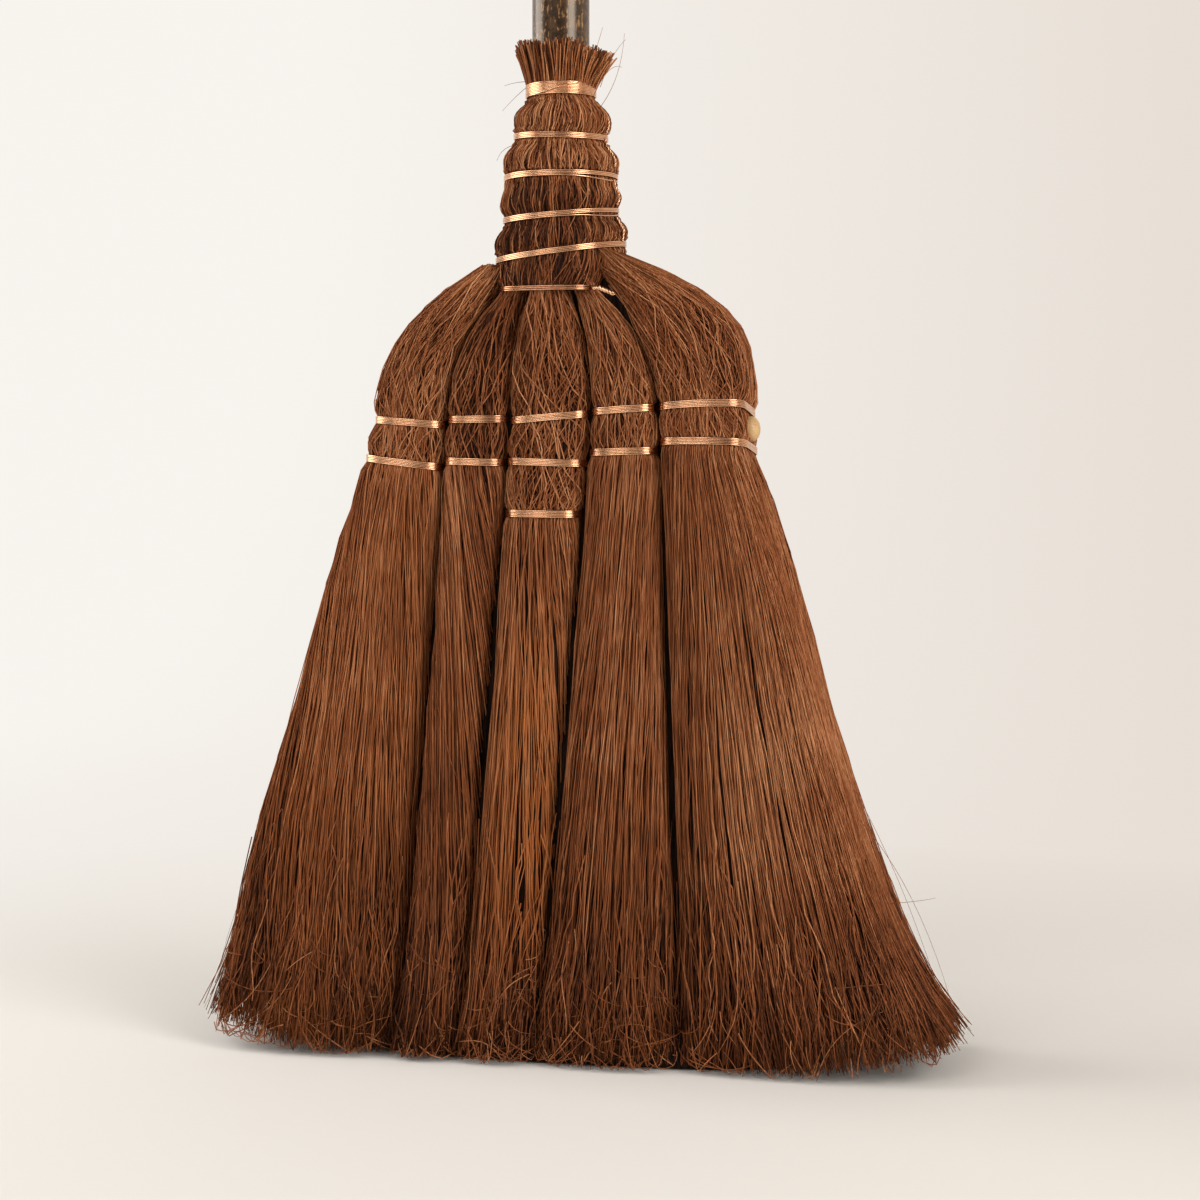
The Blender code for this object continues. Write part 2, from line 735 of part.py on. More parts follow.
def make_skewer(material):
    """Makes the bamboo skewer that holds the bundles in a row."""
    place, length = skewer_line()
    radius = SKEWER_DIAMETER / 2
    profile = [(radius - CUT_BEVEL, 0.0), (radius, CUT_BEVEL), (radius, length - SKEWER_DOME),
               (0.92 * radius, length - 0.45 * SKEWER_DOME),
               (0.68 * radius, length - 0.12 * SKEWER_DOME), (0.30 * radius, length)]
    return add_object("skewer", turned("skewer", profile, DOWEL_SIDES, place), material)


def make_skewer_cutter():
    """Makes the hole that the skewer runs through."""
    place, length = skewer_line()
    radius = SKEWER_DIAMETER / 2 + CLEARANCE
    profile = [(radius, -THROUGH), (radius, length + THROUGH)]
    return add_cutter("skewer_hole", turned("skewer_hole", profile, DOWEL_SIDES, place))


def peg_span():
    """Gives the peg's height, its point and its head, which lies inside the fibre."""
    height = neck_band_planes()[3].height - PEG_BELOW_BAND
    point = -HANDLE_DIAMETER / 2 + PEG_FRONT_WALL
    head = HANDLE_DIAMETER / 2 + NECK_BULGE_FIBRE[2] - PEG_SHORT
    return height, point, head


def peg_place(height):
    """Gives the frame whose Z runs along the peg, from the front to the back."""
    return Matrix.Translation((0.0, 0.0, height)) @ Matrix.Rotation(-math.pi / 2, 4, "X")


def make_peg(material):
    """Makes the bamboo peg driven through the neck from behind."""
    height, point, head = peg_span()
    radius = PEG_DIAMETER / 2
    profile = [(0.6 * radius, point), (radius, point + 2 * radius), (radius, head)]
    mesh = turned("handle_peg", profile, DOWEL_SIDES // 2, peg_place(height))
    return add_object("handle_peg", mesh, material)


def make_peg_cutter():
    """Makes the hole that the peg is driven into."""
    height, point, head = peg_span()
    radius = PEG_DIAMETER / 2 + CLEARANCE
    profile = [(radius, point - CLEARANCE), (radius, head + THROUGH)]
    mesh = turned("peg_hole", profile, DOWEL_SIDES // 2, peg_place(height))
    return add_cutter("peg_hole", mesh)


def make_handle_cutter():
    """Makes the bore that the handle stands in."""
    radius = HANDLE_DIAMETER / 2 + CLEARANCE
    profile = [(radius, HANDLE_FOOT - CLEARANCE), (radius, neck_top() + THROUGH)]
    return add_cutter("handle_bore", turned("handle_bore", profile, BORE_SIDES))


# Twisted ends

def neck_path(index):
    """Gives a twisted pair's run over the bulge above one of the neck's bindings."""
    planes = neck_band_planes()
    margin = CLEARANCE + TWIST_SIDE * math.sqrt(0.5)
    half = floor_half(BAND_TURNS) + GROOVE_LIP
    bulge, middle = neck_bulge(index)
    low = planes[index]._replace(height=planes[index].height + half)
    high = planes[index + 1]._replace(height=planes[index + 1].height - half)
    stops = ((neck_lip(index), low), (bulge, middle), (neck_lip(index + 1), high))
    return [outline_point(grow(section, margin), plane, TWIST_ANGLE) for section, plane in stops]


def make_twists(material):
    """Makes the twisted pairs down the neck and the shoulder wire's twisted end."""
    for index, label in enumerate(("lower", "middle", "upper")):
        twisted_pair(f"{label}_neck_twist", neck_path(index), material)
    low, high = neck_path(3)[:2]
    end = low + (high - low).normalized() * TWIST_STUB
    twisted_pair("neck_twist_end", [low, end], material)
    outside = WIRE_SEAT + WIRE_DIAMETER / 2 + CLEARANCE + TWIST_SIDE / 4
    wire = grow(shoulder_wire_section(), outside)
    start = outline_point(wire, flat(SHOULDER_WIRE_HEIGHT), SHOULDER_TWIST_ANGLE)
    end = start + SHOULDER_TWIST_WAY * SHOULDER_TWIST
    twisted_pair("shoulder_twist_end", [start, end], material)


def shoulder_wire_section():
    """Gives the outline of the three middle bundles together."""
    left = bundle_section(BUNDLES[1], SHOULDER_WIRE_HEIGHT)
    middle = bundle_section(BUNDLES[2], SHOULDER_WIRE_HEIGHT)
    right = bundle_section(BUNDLES[3], SHOULDER_WIRE_HEIGHT)
    return Section(left.left, right.right, middle.depth, SHOULDER_WIRE_FULLNESS)


def main():
    """Builds the broom."""
    clear_scene()
    fibre = finish("palm_fibre", (0.19, 0.065, 0.022), 0.75)
    copper = finish("copper", (0.80, 0.36, 0.19), 0.25, 1.0)
    cane = finish("dark_bamboo", (0.055, 0.035, 0.022), 0.3)
    pale = finish("pale_bamboo", (0.62, 0.42, 0.18), 0.5)

    make_handle(cane)
    neck = make_neck(fibre)
    make_collar(fibre)
    bodies = {bundle.name: make_bundle(bundle, fibre, copper) for bundle in BUNDLES}
    make_skewer(pale)
    make_peg(pale)
    labels = ("first", "second", "third", "fourth", "top")
    for index, plane in enumerate(neck_band_planes()):
        wound_wire(f"neck_{labels[index]}_wire", neck_floor(index), plane, band_turns(index),
                   copper)
    wound_wire("shoulder_wire", shoulder_wire_section(), flat(SHOULDER_WIRE_HEIGHT),
               BAND_TURNS, copper)
    make_twists(copper)

    skewer_hole = make_skewer_cutter()
    handle_bore = make_handle_cutter()
    peg_hole = make_peg_cutter()
    for bundle in BUNDLES:
        cut(bodies[bundle.name], skewer_hole)
        if holds_shoulder_wire(bundle):
            cut(bodies[bundle.name], handle_bore)
    cut(neck, handle_bore)
    cut(neck, peg_hole)
    cut(bpy.data.objects["handle"], peg_hole)


main()
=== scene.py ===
"""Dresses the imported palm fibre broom: bound bundles of fibre, copper windings and bamboo."""
import logging
import math
from dataclasses import dataclass, field, replace
from enum import Enum

import bpy
import numpy as np
from mathutils import Matrix, Vector
from numpy.typing import NDArray


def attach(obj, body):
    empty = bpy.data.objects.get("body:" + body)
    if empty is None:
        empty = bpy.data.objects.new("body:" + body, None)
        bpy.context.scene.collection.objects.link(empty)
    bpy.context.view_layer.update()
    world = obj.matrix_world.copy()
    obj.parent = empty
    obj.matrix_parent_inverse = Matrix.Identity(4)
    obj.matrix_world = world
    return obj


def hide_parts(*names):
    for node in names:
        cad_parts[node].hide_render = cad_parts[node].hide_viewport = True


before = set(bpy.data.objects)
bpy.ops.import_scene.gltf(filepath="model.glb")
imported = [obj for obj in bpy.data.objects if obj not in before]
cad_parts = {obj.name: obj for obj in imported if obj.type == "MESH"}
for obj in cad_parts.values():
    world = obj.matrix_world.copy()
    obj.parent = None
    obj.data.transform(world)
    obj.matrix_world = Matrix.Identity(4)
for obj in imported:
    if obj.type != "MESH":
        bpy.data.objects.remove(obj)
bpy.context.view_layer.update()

Array = NDArray[np.float64]
Colour = tuple[float, float, float]
Pair = tuple[float, float]
Point = tuple[float, float, float]
Material = bpy.types.Material
Random = np.random.Generator
Socket = bpy.types.NodeSocket
Tree = bpy.types.NodeTree
FRONT = -math.pi / 2
BACKWARD = np.array((0.0, 1.0, 0.0))
UPWARD = np.array((0.0, 0.0, 1.0))

logging.basicConfig(level=logging.INFO, format="%(message)s")
log = logging.getLogger("broom")


# ---- Shapes as arrays ----

def mix(first: Array, second: Array, share: Array) -> Array:
    """Goes from the first value to the second: first + (second - first) * share."""
    return first + (second - first) * share


def unit(vectors: Array) -> Array:
    """Gives the vectors, divided by their lengths."""
    return vectors / np.maximum(np.linalg.norm(vectors, axis=-1, keepdims=True), 1e-12)


def bell(distance: Array, width: float) -> Array:
    """Gives the bell curve exp(-(distance / width)^2)."""
    return np.exp(-(distance / width) ** 2)


def held(share: Array) -> Array:
    """Keeps a share between 0 and 1."""
    return np.clip(share, 0.0, 1.0)


def near_floor(height: Array, limit: float) -> Array:
    """Goes from 0 at the limit to 1 at the floor: (limit - height) / limit."""
    return held((limit - height) / limit)


def wrapped(angle: Array) -> Array:
    """Gives the same angle between -pi and pi."""
    return np.angle(np.exp(1j * angle))


def scatter(rng: Random, count: int, middle: float, spread: float, low: float,
            high: float) -> Array:
    """Gives each strand a normal chance number, held between low and high, as a column."""
    return np.clip(rng.normal(middle, spread, count), low, high)[:, None]


@dataclass
class Surface:
    """Vertices, faces and point values of a mesh that is still arrays."""

    points: Array
    faces: list[NDArray[np.int64]]
    values: dict[str, Array] = field(default_factory=dict)
    places: Array | None = None

    def build(self, name: str, material: Material) -> bpy.types.Object:
        """Makes the smooth-shaded object.

        Args:
            name: The piece's name.
            material: Its finish.

        Returns:
            The object, at the origin, with its place in its mesh.
        """
        mesh = bpy.data.meshes.new(name)
        corners = np.concatenate([group.ravel() for group in self.faces])
        sizes = np.concatenate([np.full(len(group), group.shape[1]) for group in self.faces])
        mesh.vertices.add(len(self.points))
        mesh.vertices.foreach_set("co", self.points.astype(np.float32).ravel())
        mesh.loops.add(len(corners))
        mesh.loops.foreach_set("vertex_index", corners.astype(np.int32))
        mesh.polygons.add(len(sizes))
        starts = np.concatenate([[0], np.cumsum(sizes)[:-1]])
        mesh.polygons.foreach_set("loop_start", starts.astype(np.int32))
        mesh.update(calc_edges=True)
        for key, value in self.values.items():
            layer = mesh.attributes.new(key, "FLOAT", "POINT")
            layer.data.foreach_set("value", value.astype(np.float32).ravel())
        if self.places is not None:
            layer = mesh.uv_layers.new(name="UVMap")
            layer.uv.foreach_set("vector", self.places[corners].astype(np.float32).ravel())
        mesh.polygons.foreach_set("use_smooth", np.ones(len(sizes), bool))
        mesh.materials.append(material)
        item = bpy.data.objects.new(name, mesh)
        bpy.context.scene.collection.objects.link(item)
        return item


def tubes(paths: Array, radii: Array, sides: int, up: Array, values: dict[str, Array]) -> Surface:
    """Carries a regular polygon along each path and closes both ends.

    A ring's corner is path + radius * (cos(a) * side + sin(a) * other), with side square to
    the path and to the reference direction, and other square to both. In the UV map a tube
    is a narrow upright strip, and the strips stand in order of tone.

    Args:
        paths: Points, as (strands, steps, 3).
        radii: Radii, as (strands, steps).
        sides: Corners of a ring.
        up: A direction that no path follows.
        values: Point values, each as (strands, steps).

    Returns:
        The closed tubes as one surface.
    """
    count, steps, _ = paths.shape
    along = unit(np.gradient(paths, axis=1))
    side = unit(np.cross(np.broadcast_to(up, along.shape), along))
    other = np.cross(along, side)
    angle = 2 * np.pi * np.arange(sides) / sides
    ring = (np.cos(angle)[:, None] * side[:, :, None] + np.sin(angle)[:, None] * other[:, :, None])
    points = paths[:, :, None] + ring * radii[:, :, None, None]
    index = np.arange(count * steps * sides).reshape(count, steps, sides)
    after = np.roll(index, -1, axis=2)
    walls = np.stack([index[:, :-1], after[:, :-1], after[:, 1:], index[:, 1:]], -1)
    faces = [walls.reshape(-1, 4), index[:, 0, ::-1].reshape(-1, sides), index[:, -1]]
    spread = {key: np.repeat(value.ravel(), sides) for key, value in values.items()}
    rank = values.get("tone", np.zeros((count, steps)))[:, 0].argsort().argsort()
    across = 0.01 + 0.97 * (rank / max(count, 1))[:, None, None] + 0.004 * np.arange(sides) / sides
    rise = 0.01 + 0.98 * (np.arange(steps) / (steps - 1))[None, :, None]
    shape = (count, steps, sides)
    places = np.stack([np.broadcast_to(across, shape), np.broadcast_to(rise, shape)], -1)
    return Surface(points.reshape(-1, 3), faces, spread, places.reshape(-1, 2))


def hairs(points: Array, radii: Array, tone: Array | float, warmth: Array | float,
          sides: int = 3) -> Surface:
    """Gives strands of fibre as closed tubes, with the point values that their finish reads.

    Args:
        points: Points, as (strands, steps, 3).
        radii: Their radii.
        tone: How light they are, from 0 to 1.
        warmth: How orange they are, from 0 to 1.
        sides: Corners of a ring.

    Returns:
        The strands as one surface.
    """
    ones = np.ones(points.shape[:2])
    values = {"tone": tone * ones, "warmth": warmth * ones}
    return tubes(points, radii * ones, sides, BACKWARD, values)


def wires(points: Array, radius: float, up: Array) -> Surface:
    """Gives round wires of one radius, as closed tubes of seven sides."""
    return tubes(points, np.full(points.shape[:2], radius), 7, up, {})


def joined(surfaces: list[Surface]) -> Surface:
    """Puts several surfaces into one."""
    offsets = np.cumsum([0] + [len(surface.points) for surface in surfaces])
    faces = [group + offset for surface, offset in zip(surfaces, offsets)
             for group in surface.faces]
    keys = surfaces[0].values
    values = {key: np.concatenate([surface.values[key] for surface in surfaces]) for key in keys}
    places = np.concatenate([surface.places for surface in surfaces])
    return Surface(np.concatenate([surface.points for surface in surfaces]), faces, values, places)


def sleeve(grid: Array) -> Surface:
    """Joins closed rings, given as (rings, corners, 3), and caps the first and the last one."""
    rings, corners, _ = grid.shape
    index = np.arange(rings * corners).reshape(rings, corners)
    after = np.roll(index, -1, axis=1)
    walls = np.stack([index[:-1], after[:-1], after[1:], index[1:]], -1).reshape(-1, 4)
    return Surface(grid.reshape(-1, 3), [walls, index[:1, ::-1], index[-1:]])


def turned(profile: Array, sides: int, place: Matrix | None = None) -> Surface:
    """Turns a profile round the Z axis, then puts it in place.

    Args:
        profile: (radius, height) pairs from the bottom up.
        sides: Corners of a ring.
        place: Where the axis goes.

    Returns:
        The closed solid.
    """
    angle = 2 * np.pi * np.arange(sides) / sides
    radius, height = profile[:, 0, None], profile[:, 1, None]
    grid = np.stack([radius * np.cos(angle), radius * np.sin(angle),
                     height * np.ones_like(angle)], -1)
    if place is not None:
        turn = np.array(place)
        grid = grid @ turn[:3, :3].T + turn[:3, 3]
    return sleeve(grid)


# ---- Materials ----

class Graph:
    """Adds nodes to a tree and joins them."""

    def __init__(self, tree: Tree) -> None:
        """Starts in a material's, a group's or a world's tree."""
        self.tree = tree

    def feed(self, target: bpy.types.Node, inputs: dict[str | int, object]) -> None:
        """Feeds a node's inputs.

        Args:
            target: The node.
            inputs: Sockets, values or linear colours, by an input's name or place.
        """
        for key, value in inputs.items():
            socket = target.inputs[key]
            if isinstance(value, Socket):
                self.tree.links.new(value, socket)
            else:
                socket.default_value = (*value, 1.0) if socket.type == "RGBA" else value

    def node(self, kind: str, inputs: dict[str | int, object] | None = None,
             **settings: object) -> bpy.types.Node:
        """Adds a node, sets its properties and feeds its inputs.

        Args:
            kind: The node's type.
            inputs: What to feed, by an input's name or place.
            **settings: Properties by name.

        Returns:
            The node.
        """
        made = self.tree.nodes.new(kind)
        for key, value in settings.items():
            setattr(made, key, value)
        self.feed(made, inputs or {})
        return made

    def object_place(self) -> Socket:
        """Gives the Object coordinates."""
        return self.node("ShaderNodeTexCoord").outputs["Object"]

    def math(self, kind: str, first: object, second: object) -> Socket:
        """Gives a Math node's value for two sockets or numbers."""
        return self.node("ShaderNodeMath", {0: first, 1: second}, operation=kind).outputs[0]

    def vector(self, kind: str, output: int, *inputs: object) -> Socket:
        """Gives a Vector Math node's output: 0 for the vector and 1 for the value."""
        fed = dict(enumerate(inputs))
        return self.node("ShaderNodeVectorMath", fed, operation=kind).outputs[output]

    def ramp(self, source: Socket, *stops: tuple[float, Colour]) -> Socket:
        """Adds a colour ramp and gives its output.

        Args:
            source: The value to colour.
            *stops: Places and linear colours, in order.

        Returns:
            The colour socket.
        """
        made = self.node("ShaderNodeValToRGB", {0: source})
        marks = made.color_ramp.elements
        for _ in range(len(stops) - 2):
            marks.new(0.5)
        for mark, (place, colour) in zip(marks, stops):
            mark.position = place
            mark.color = (*colour, 1.0)
        return made.outputs[0]

    def spread(self, source: Socket, low: float, high: float,
               first: float = 0.0, last: float = 1.0) -> Socket:
        """Maps a value's range, from first to last, onto the range from low to high."""
        ends = {"From Min": first, "From Max": last, "To Min": low, "To Max": high}
        return self.node("ShaderNodeMapRange", {"Value": source, **ends}).outputs[0]

    def blend(self, share: Socket, first: Socket | Colour, second: Socket | Colour) -> Socket:
        """Gives a mix of two colours, by the share of the second."""
        inputs = {0: share, 6: first, 7: second}
        return self.node("ShaderNodeMix", inputs, data_type="RGBA").outputs[2]


def grain_group() -> Tree:
    """Builds the shared node group of grain that runs up and down.

    Streaks is noise on Object coordinates stretched along Z, Mottle is plain noise, and
    Height adds a little of the second to the first.

    Returns:
        The group.
    """
    group = bpy.data.node_groups.new("upright_grain", "ShaderNodeTree")
    kind = "NodeSocketFloat"
    for name, value in (("Across", 900.0), ("Along", 40.0), ("Mottle Scale", 60.0)):
        socket = group.interface.new_socket(name=name, in_out="INPUT", socket_type=kind)
        socket.default_value = value
    for name in ("Streaks", "Mottle", "Height"):
        group.interface.new_socket(name=name, in_out="OUTPUT", socket_type=kind)
    graph = Graph(group)
    start = graph.node("NodeGroupInput").outputs
    place = graph.object_place()
    axes = {0: start["Across"], 1: start["Across"], 2: start["Along"]}
    scale = graph.node("ShaderNodeCombineXYZ", axes).outputs[0]
    noises = ({"Vector": graph.vector("MULTIPLY", 0, place, scale), "Scale": 1.0, "Detail": 3.0},
              {"Vector": place, "Scale": start["Mottle Scale"], "Detail": 4.0})
    streaks, mottle = (graph.node("ShaderNodeTexNoise", fed).outputs[0] for fed in noises)
    height = graph.math("ADD", streaks, graph.math("MULTIPLY", mottle, 0.3))
    graph.node("NodeGroupOutput", {"Streaks": streaks, "Mottle": mottle, "Height": height})
    return group


class GrainedGraph(Graph):
    """A material's tree with the shared grain group placed in it."""

    def __init__(self, tree: Tree, group: Tree, sizes: tuple[float, float, float]) -> None:
        """Places the group.

        Args:
            tree: The material's tree.
            group: The shared grain group.
            sizes: The grain across, along and in its mottle, in cycles a metre.
        """
        super().__init__(tree)
        fed = dict(zip(("Across", "Along", "Mottle Scale"), sizes))
        self.grain = self.node("ShaderNodeGroup", fed, node_tree=group).outputs

    def part(self, name: str, low: float, high: float,
             first: float = 0.3, last: float = 0.7) -> Socket:
        """Maps Streaks, Mottle or Height, from first to last, onto low to high."""
        return self.spread(self.grain[name], low, high, first, last)

    def attribute(self, name: str) -> Socket:
        """Gives a point value of the mesh."""
        return self.node("ShaderNodeAttribute", attribute_name=name).outputs["Fac"]


@dataclass(frozen=True)
class Look:
    """What each finish has besides its colour.

    Grain is how fine it is across, along and in its mottle, in cycles a metre. Rough is the
    roughness where the streaks are low and high. Bump is how far a height of 1 stands out,
    in metres, and its strength. Constants are further values on the shader's own sockets.
    """

    name: str
    grain: tuple[float, float, float]
    rough: Pair
    bump: Pair
    constants: tuple[tuple[str, float | Colour], ...]


@dataclass(frozen=True)
class Finish:
    """A material on the shared grain; each kind of finish gives its own colour."""

    look: Look

    def colour(self, graph: GrainedGraph) -> Socket:
        """Gives the base colour from the grain."""
        raise NotImplementedError

    def make(self, group: Tree) -> Material:
        """Builds the material.

        Args:
            group: The shared grain group.

        Returns:
            The material, with its colour, roughness and bump all from the grain.
        """
        look = self.look
        material = bpy.data.materials.new(look.name)
        material.use_nodes = True
        graph = GrainedGraph(material.node_tree, group, look.grain)
        distance, strength = look.bump
        normal = graph.node("ShaderNodeBump", {"Distance": distance, "Strength": strength,
                                               "Height": graph.grain["Height"]})
        graph.feed(material.node_tree.nodes["Principled BSDF"], {
            "Base Color": self.colour(graph), "Roughness": graph.part("Streaks", *look.rough),
            "Normal": normal.outputs[0], **dict(look.constants)})
        return material


@dataclass(frozen=True)
class PalmFibre(Finish):
    """Dry palm bark fibre: brown strands, each of its own tone, with an orange fuzz."""

    look: Look = Look("palm_fibre", (1500.0, 90.0, 45.0), (0.45, 0.70), (0.00012, 0.5),
                      (("Specular IOR Level", 0.17),))
    dark: Colour = (0.042, 0.0105, 0.0026)
    middle: Colour = (0.258, 0.0755, 0.0222)
    light: Colour = (0.600, 0.272, 0.120)
    fuzz: Colour = (0.420, 0.118, 0.022)
    streaking: float = 0.16
    mottling: float = 0.10

    def colour(self, graph: GrainedGraph) -> Socket:
        """Gives the strand's tone with the grain, through the browns, and its warmth's fuzz."""
        worn = graph.math("ADD", graph.attribute("tone"),
                          graph.part("Streaks", -self.streaking, self.streaking))
        worn = graph.math("ADD", worn, graph.part("Mottle", -self.mottling, self.mottling))
        plain = graph.ramp(worn, (0.0, self.dark), (0.5, self.middle), (1.0, self.light))
        warm = graph.math("MULTIPLY", graph.attribute("warmth"),
                          graph.part("Mottle", 0.5, 1.2, 0.35, 0.6))
        return graph.blend(warm, plain, self.fuzz)


@dataclass(frozen=True)
class ShadeFillFibre(Finish):
    """The inside of a bundle, seen between its outer strands, near-black as painted shade."""

    look: Look = Look("shade_fill_fibre", (1100.0, 35.0, 90.0), (0.95, 0.7), (0.0008, 0.8),
                      (("Specular IOR Level", 0.2),))
    dark: Colour = (0.005, 0.002, 0.0012)
    light: Colour = (0.030, 0.010, 0.0040)

    def colour(self, graph: GrainedGraph) -> Socket:
        """Gives dark between upright streaks."""
        return graph.ramp(graph.grain["Streaks"], (0.38, self.dark), (0.68, self.light))


@dataclass(frozen=True)
class CopperWire(Finish):
    """Bright drawn copper, a little darker where it has been handled."""

    look: Look = Look("copper_wire", (400.0, 400.0, 130.0), (0.17, 0.27), (0.00001, 0.2),
                      (("Metallic", 1.0),))
    bright: Colour = (0.84, 0.50, 0.29)
    tarnish: Colour = (0.36, 0.150, 0.075)

    def colour(self, graph: GrainedGraph) -> Socket:
        """Gives copper with tarnish in soft patches."""
        return graph.blend(graph.part("Mottle", 0.0, 0.60, 0.48, 0.70), self.bright, self.tarnish)


@dataclass(frozen=True)
class DarkBamboo(Finish):
    """Smoked and polished cane: dark brown with golden flecks under a gloss."""

    look: Look = Look("dark_bamboo", (1300.0, 230.0, 420.0), (0.19, 0.28), (0.00004, 0.3),
                      (("Specular IOR Level", 0.9), ("Specular Tint", (1.0, 0.82, 0.66))))
    dark: Colour = (0.013, 0.006, 0.0026)
    brown: Colour = (0.060, 0.027, 0.0105)
    fleck: Colour = (0.320, 0.168, 0.060)

    def colour(self, graph: GrainedGraph) -> Socket:
        """Gives brown in patches, with long flecks broken up by the mottle."""
        base = graph.ramp(graph.grain["Mottle"], (0.36, self.dark), (0.62, self.brown))
        flecks = graph.math("MULTIPLY", graph.part("Streaks", 0.0, 1.0, 0.55, 0.62),
                            graph.part("Mottle", 0.0, 1.0, 0.46, 0.56))
        return graph.blend(flecks, base, self.fleck)


@dataclass(frozen=True)
class PaleBamboo(Finish):
    """Bare bamboo of the skewer and the peg, with its pores."""

    look: Look = Look("pale_bamboo", (700.0, 700.0, 160.0), (0.42, 0.6), (0.0001, 0.4),
                      (("Coat Weight", 0.15), ("Coat Roughness", 0.3)))
    light: Colour = (0.660, 0.410, 0.180)
    dark: Colour = (0.360, 0.205, 0.078)
    pores: float = 1400.0

    def colour(self, graph: GrainedGraph) -> Socket:
        """Gives pale wood with pores as small dark cells, in cycles a metre, and a mottle."""
        fed = {"Scale": self.pores, "Vector": graph.object_place()}
        cells = graph.node("ShaderNodeTexVoronoi", fed).outputs["Distance"]
        worn = graph.math("ADD", graph.spread(cells, 0.7, 0.0, 0.15, 0.45),
                          graph.part("Mottle", -0.3, 0.5))
        return graph.blend(worn, self.light, self.dark)


@dataclass(frozen=True)
class Palette:
    """The broom's finishes, built once."""

    fibre: Material
    shade_fill: Material
    copper: Material
    cane: Material
    pale: Material
    shaded_copper: Material

    @staticmethod
    def mixed() -> "Palette":
        """Builds every finish with the one grain group."""
        group = grain_group()
        # A darker copy of the copper, as painted shade for the shoulder winding, which stands in
        # shade.
        shaded_copper = CopperWire(replace(CopperWire.look, name="shaded_copper_wire"),
                          (0.60, 0.30, 0.16), (0.26, 0.10, 0.05))
        finishes = (PalmFibre(), ShadeFillFibre(), CopperWire(), DarkBamboo(), PaleBamboo(), shaded_copper)
        return Palette(*(finish.make(group) for finish in finishes))


class Slot(Enum):
    """The record's material slots."""

    FIBRE = "palm_fibre"
    ENDS = "cut_fibre"
    COPPER = "copper_wire"
    CANE = "dark_bamboo"
    PALE = "pale_bamboo"


def stand_in(item: bpy.types.Object, slot: Slot, *nodes: str) -> None:
    """Makes a piece ride and stand for CAD nodes.

    Args:
        item: The piece.
        slot: Its material slot; not used.
        *nodes: The CAD nodes that it replaces.
    """
    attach(item, "root")
    if nodes:
        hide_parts(*nodes)
    log.info("%s: %d faces", item.name, len(item.data.polygons))


# ---- The head's shape, in metres ----

# Knots round a binding, the windings' names, and where its pinch and its bulge are.
BAND_STEPS = (-0.0055, -0.0026, -0.0013, 0.0013, 0.0026, 0.0055)
BAND_LABELS = ("third", "lower", "upper")
PINCH_HALF, PINCH_EDGE = 0.0034, 0.0018
BULGE_AT, BULGE_WIDTH = 0.0065, 0.0035
WIRE_GAP = 0.0003
# The crown of an outline, which grows with its fullness from round to boxy.
CROWN, ROUND, BOXY = 0.17, 4.0, 7.0
RING_SAMPLES = 400
# The least height of a strand, and how far one may reach in X and in Y.
FLOOR_GAP = 0.0004
FOOT_WIDTH, FOOT_DEPTH = 0.163, 0.0432


@dataclass(frozen=True)
class Band:
    """A binding: its height, how its plane rises to the right and to the back, and its turns."""

    height: float
    lean: float = 0.0
    tip: float = 0.0
    turns: int = 5


@dataclass(frozen=True)
class Seam:
    """Where two bundles meet, in X, at four heights, and the hollow beside the shoulder wire."""

    neck: float
    shoulder: float
    bands: float
    tips: float
    hollow: float


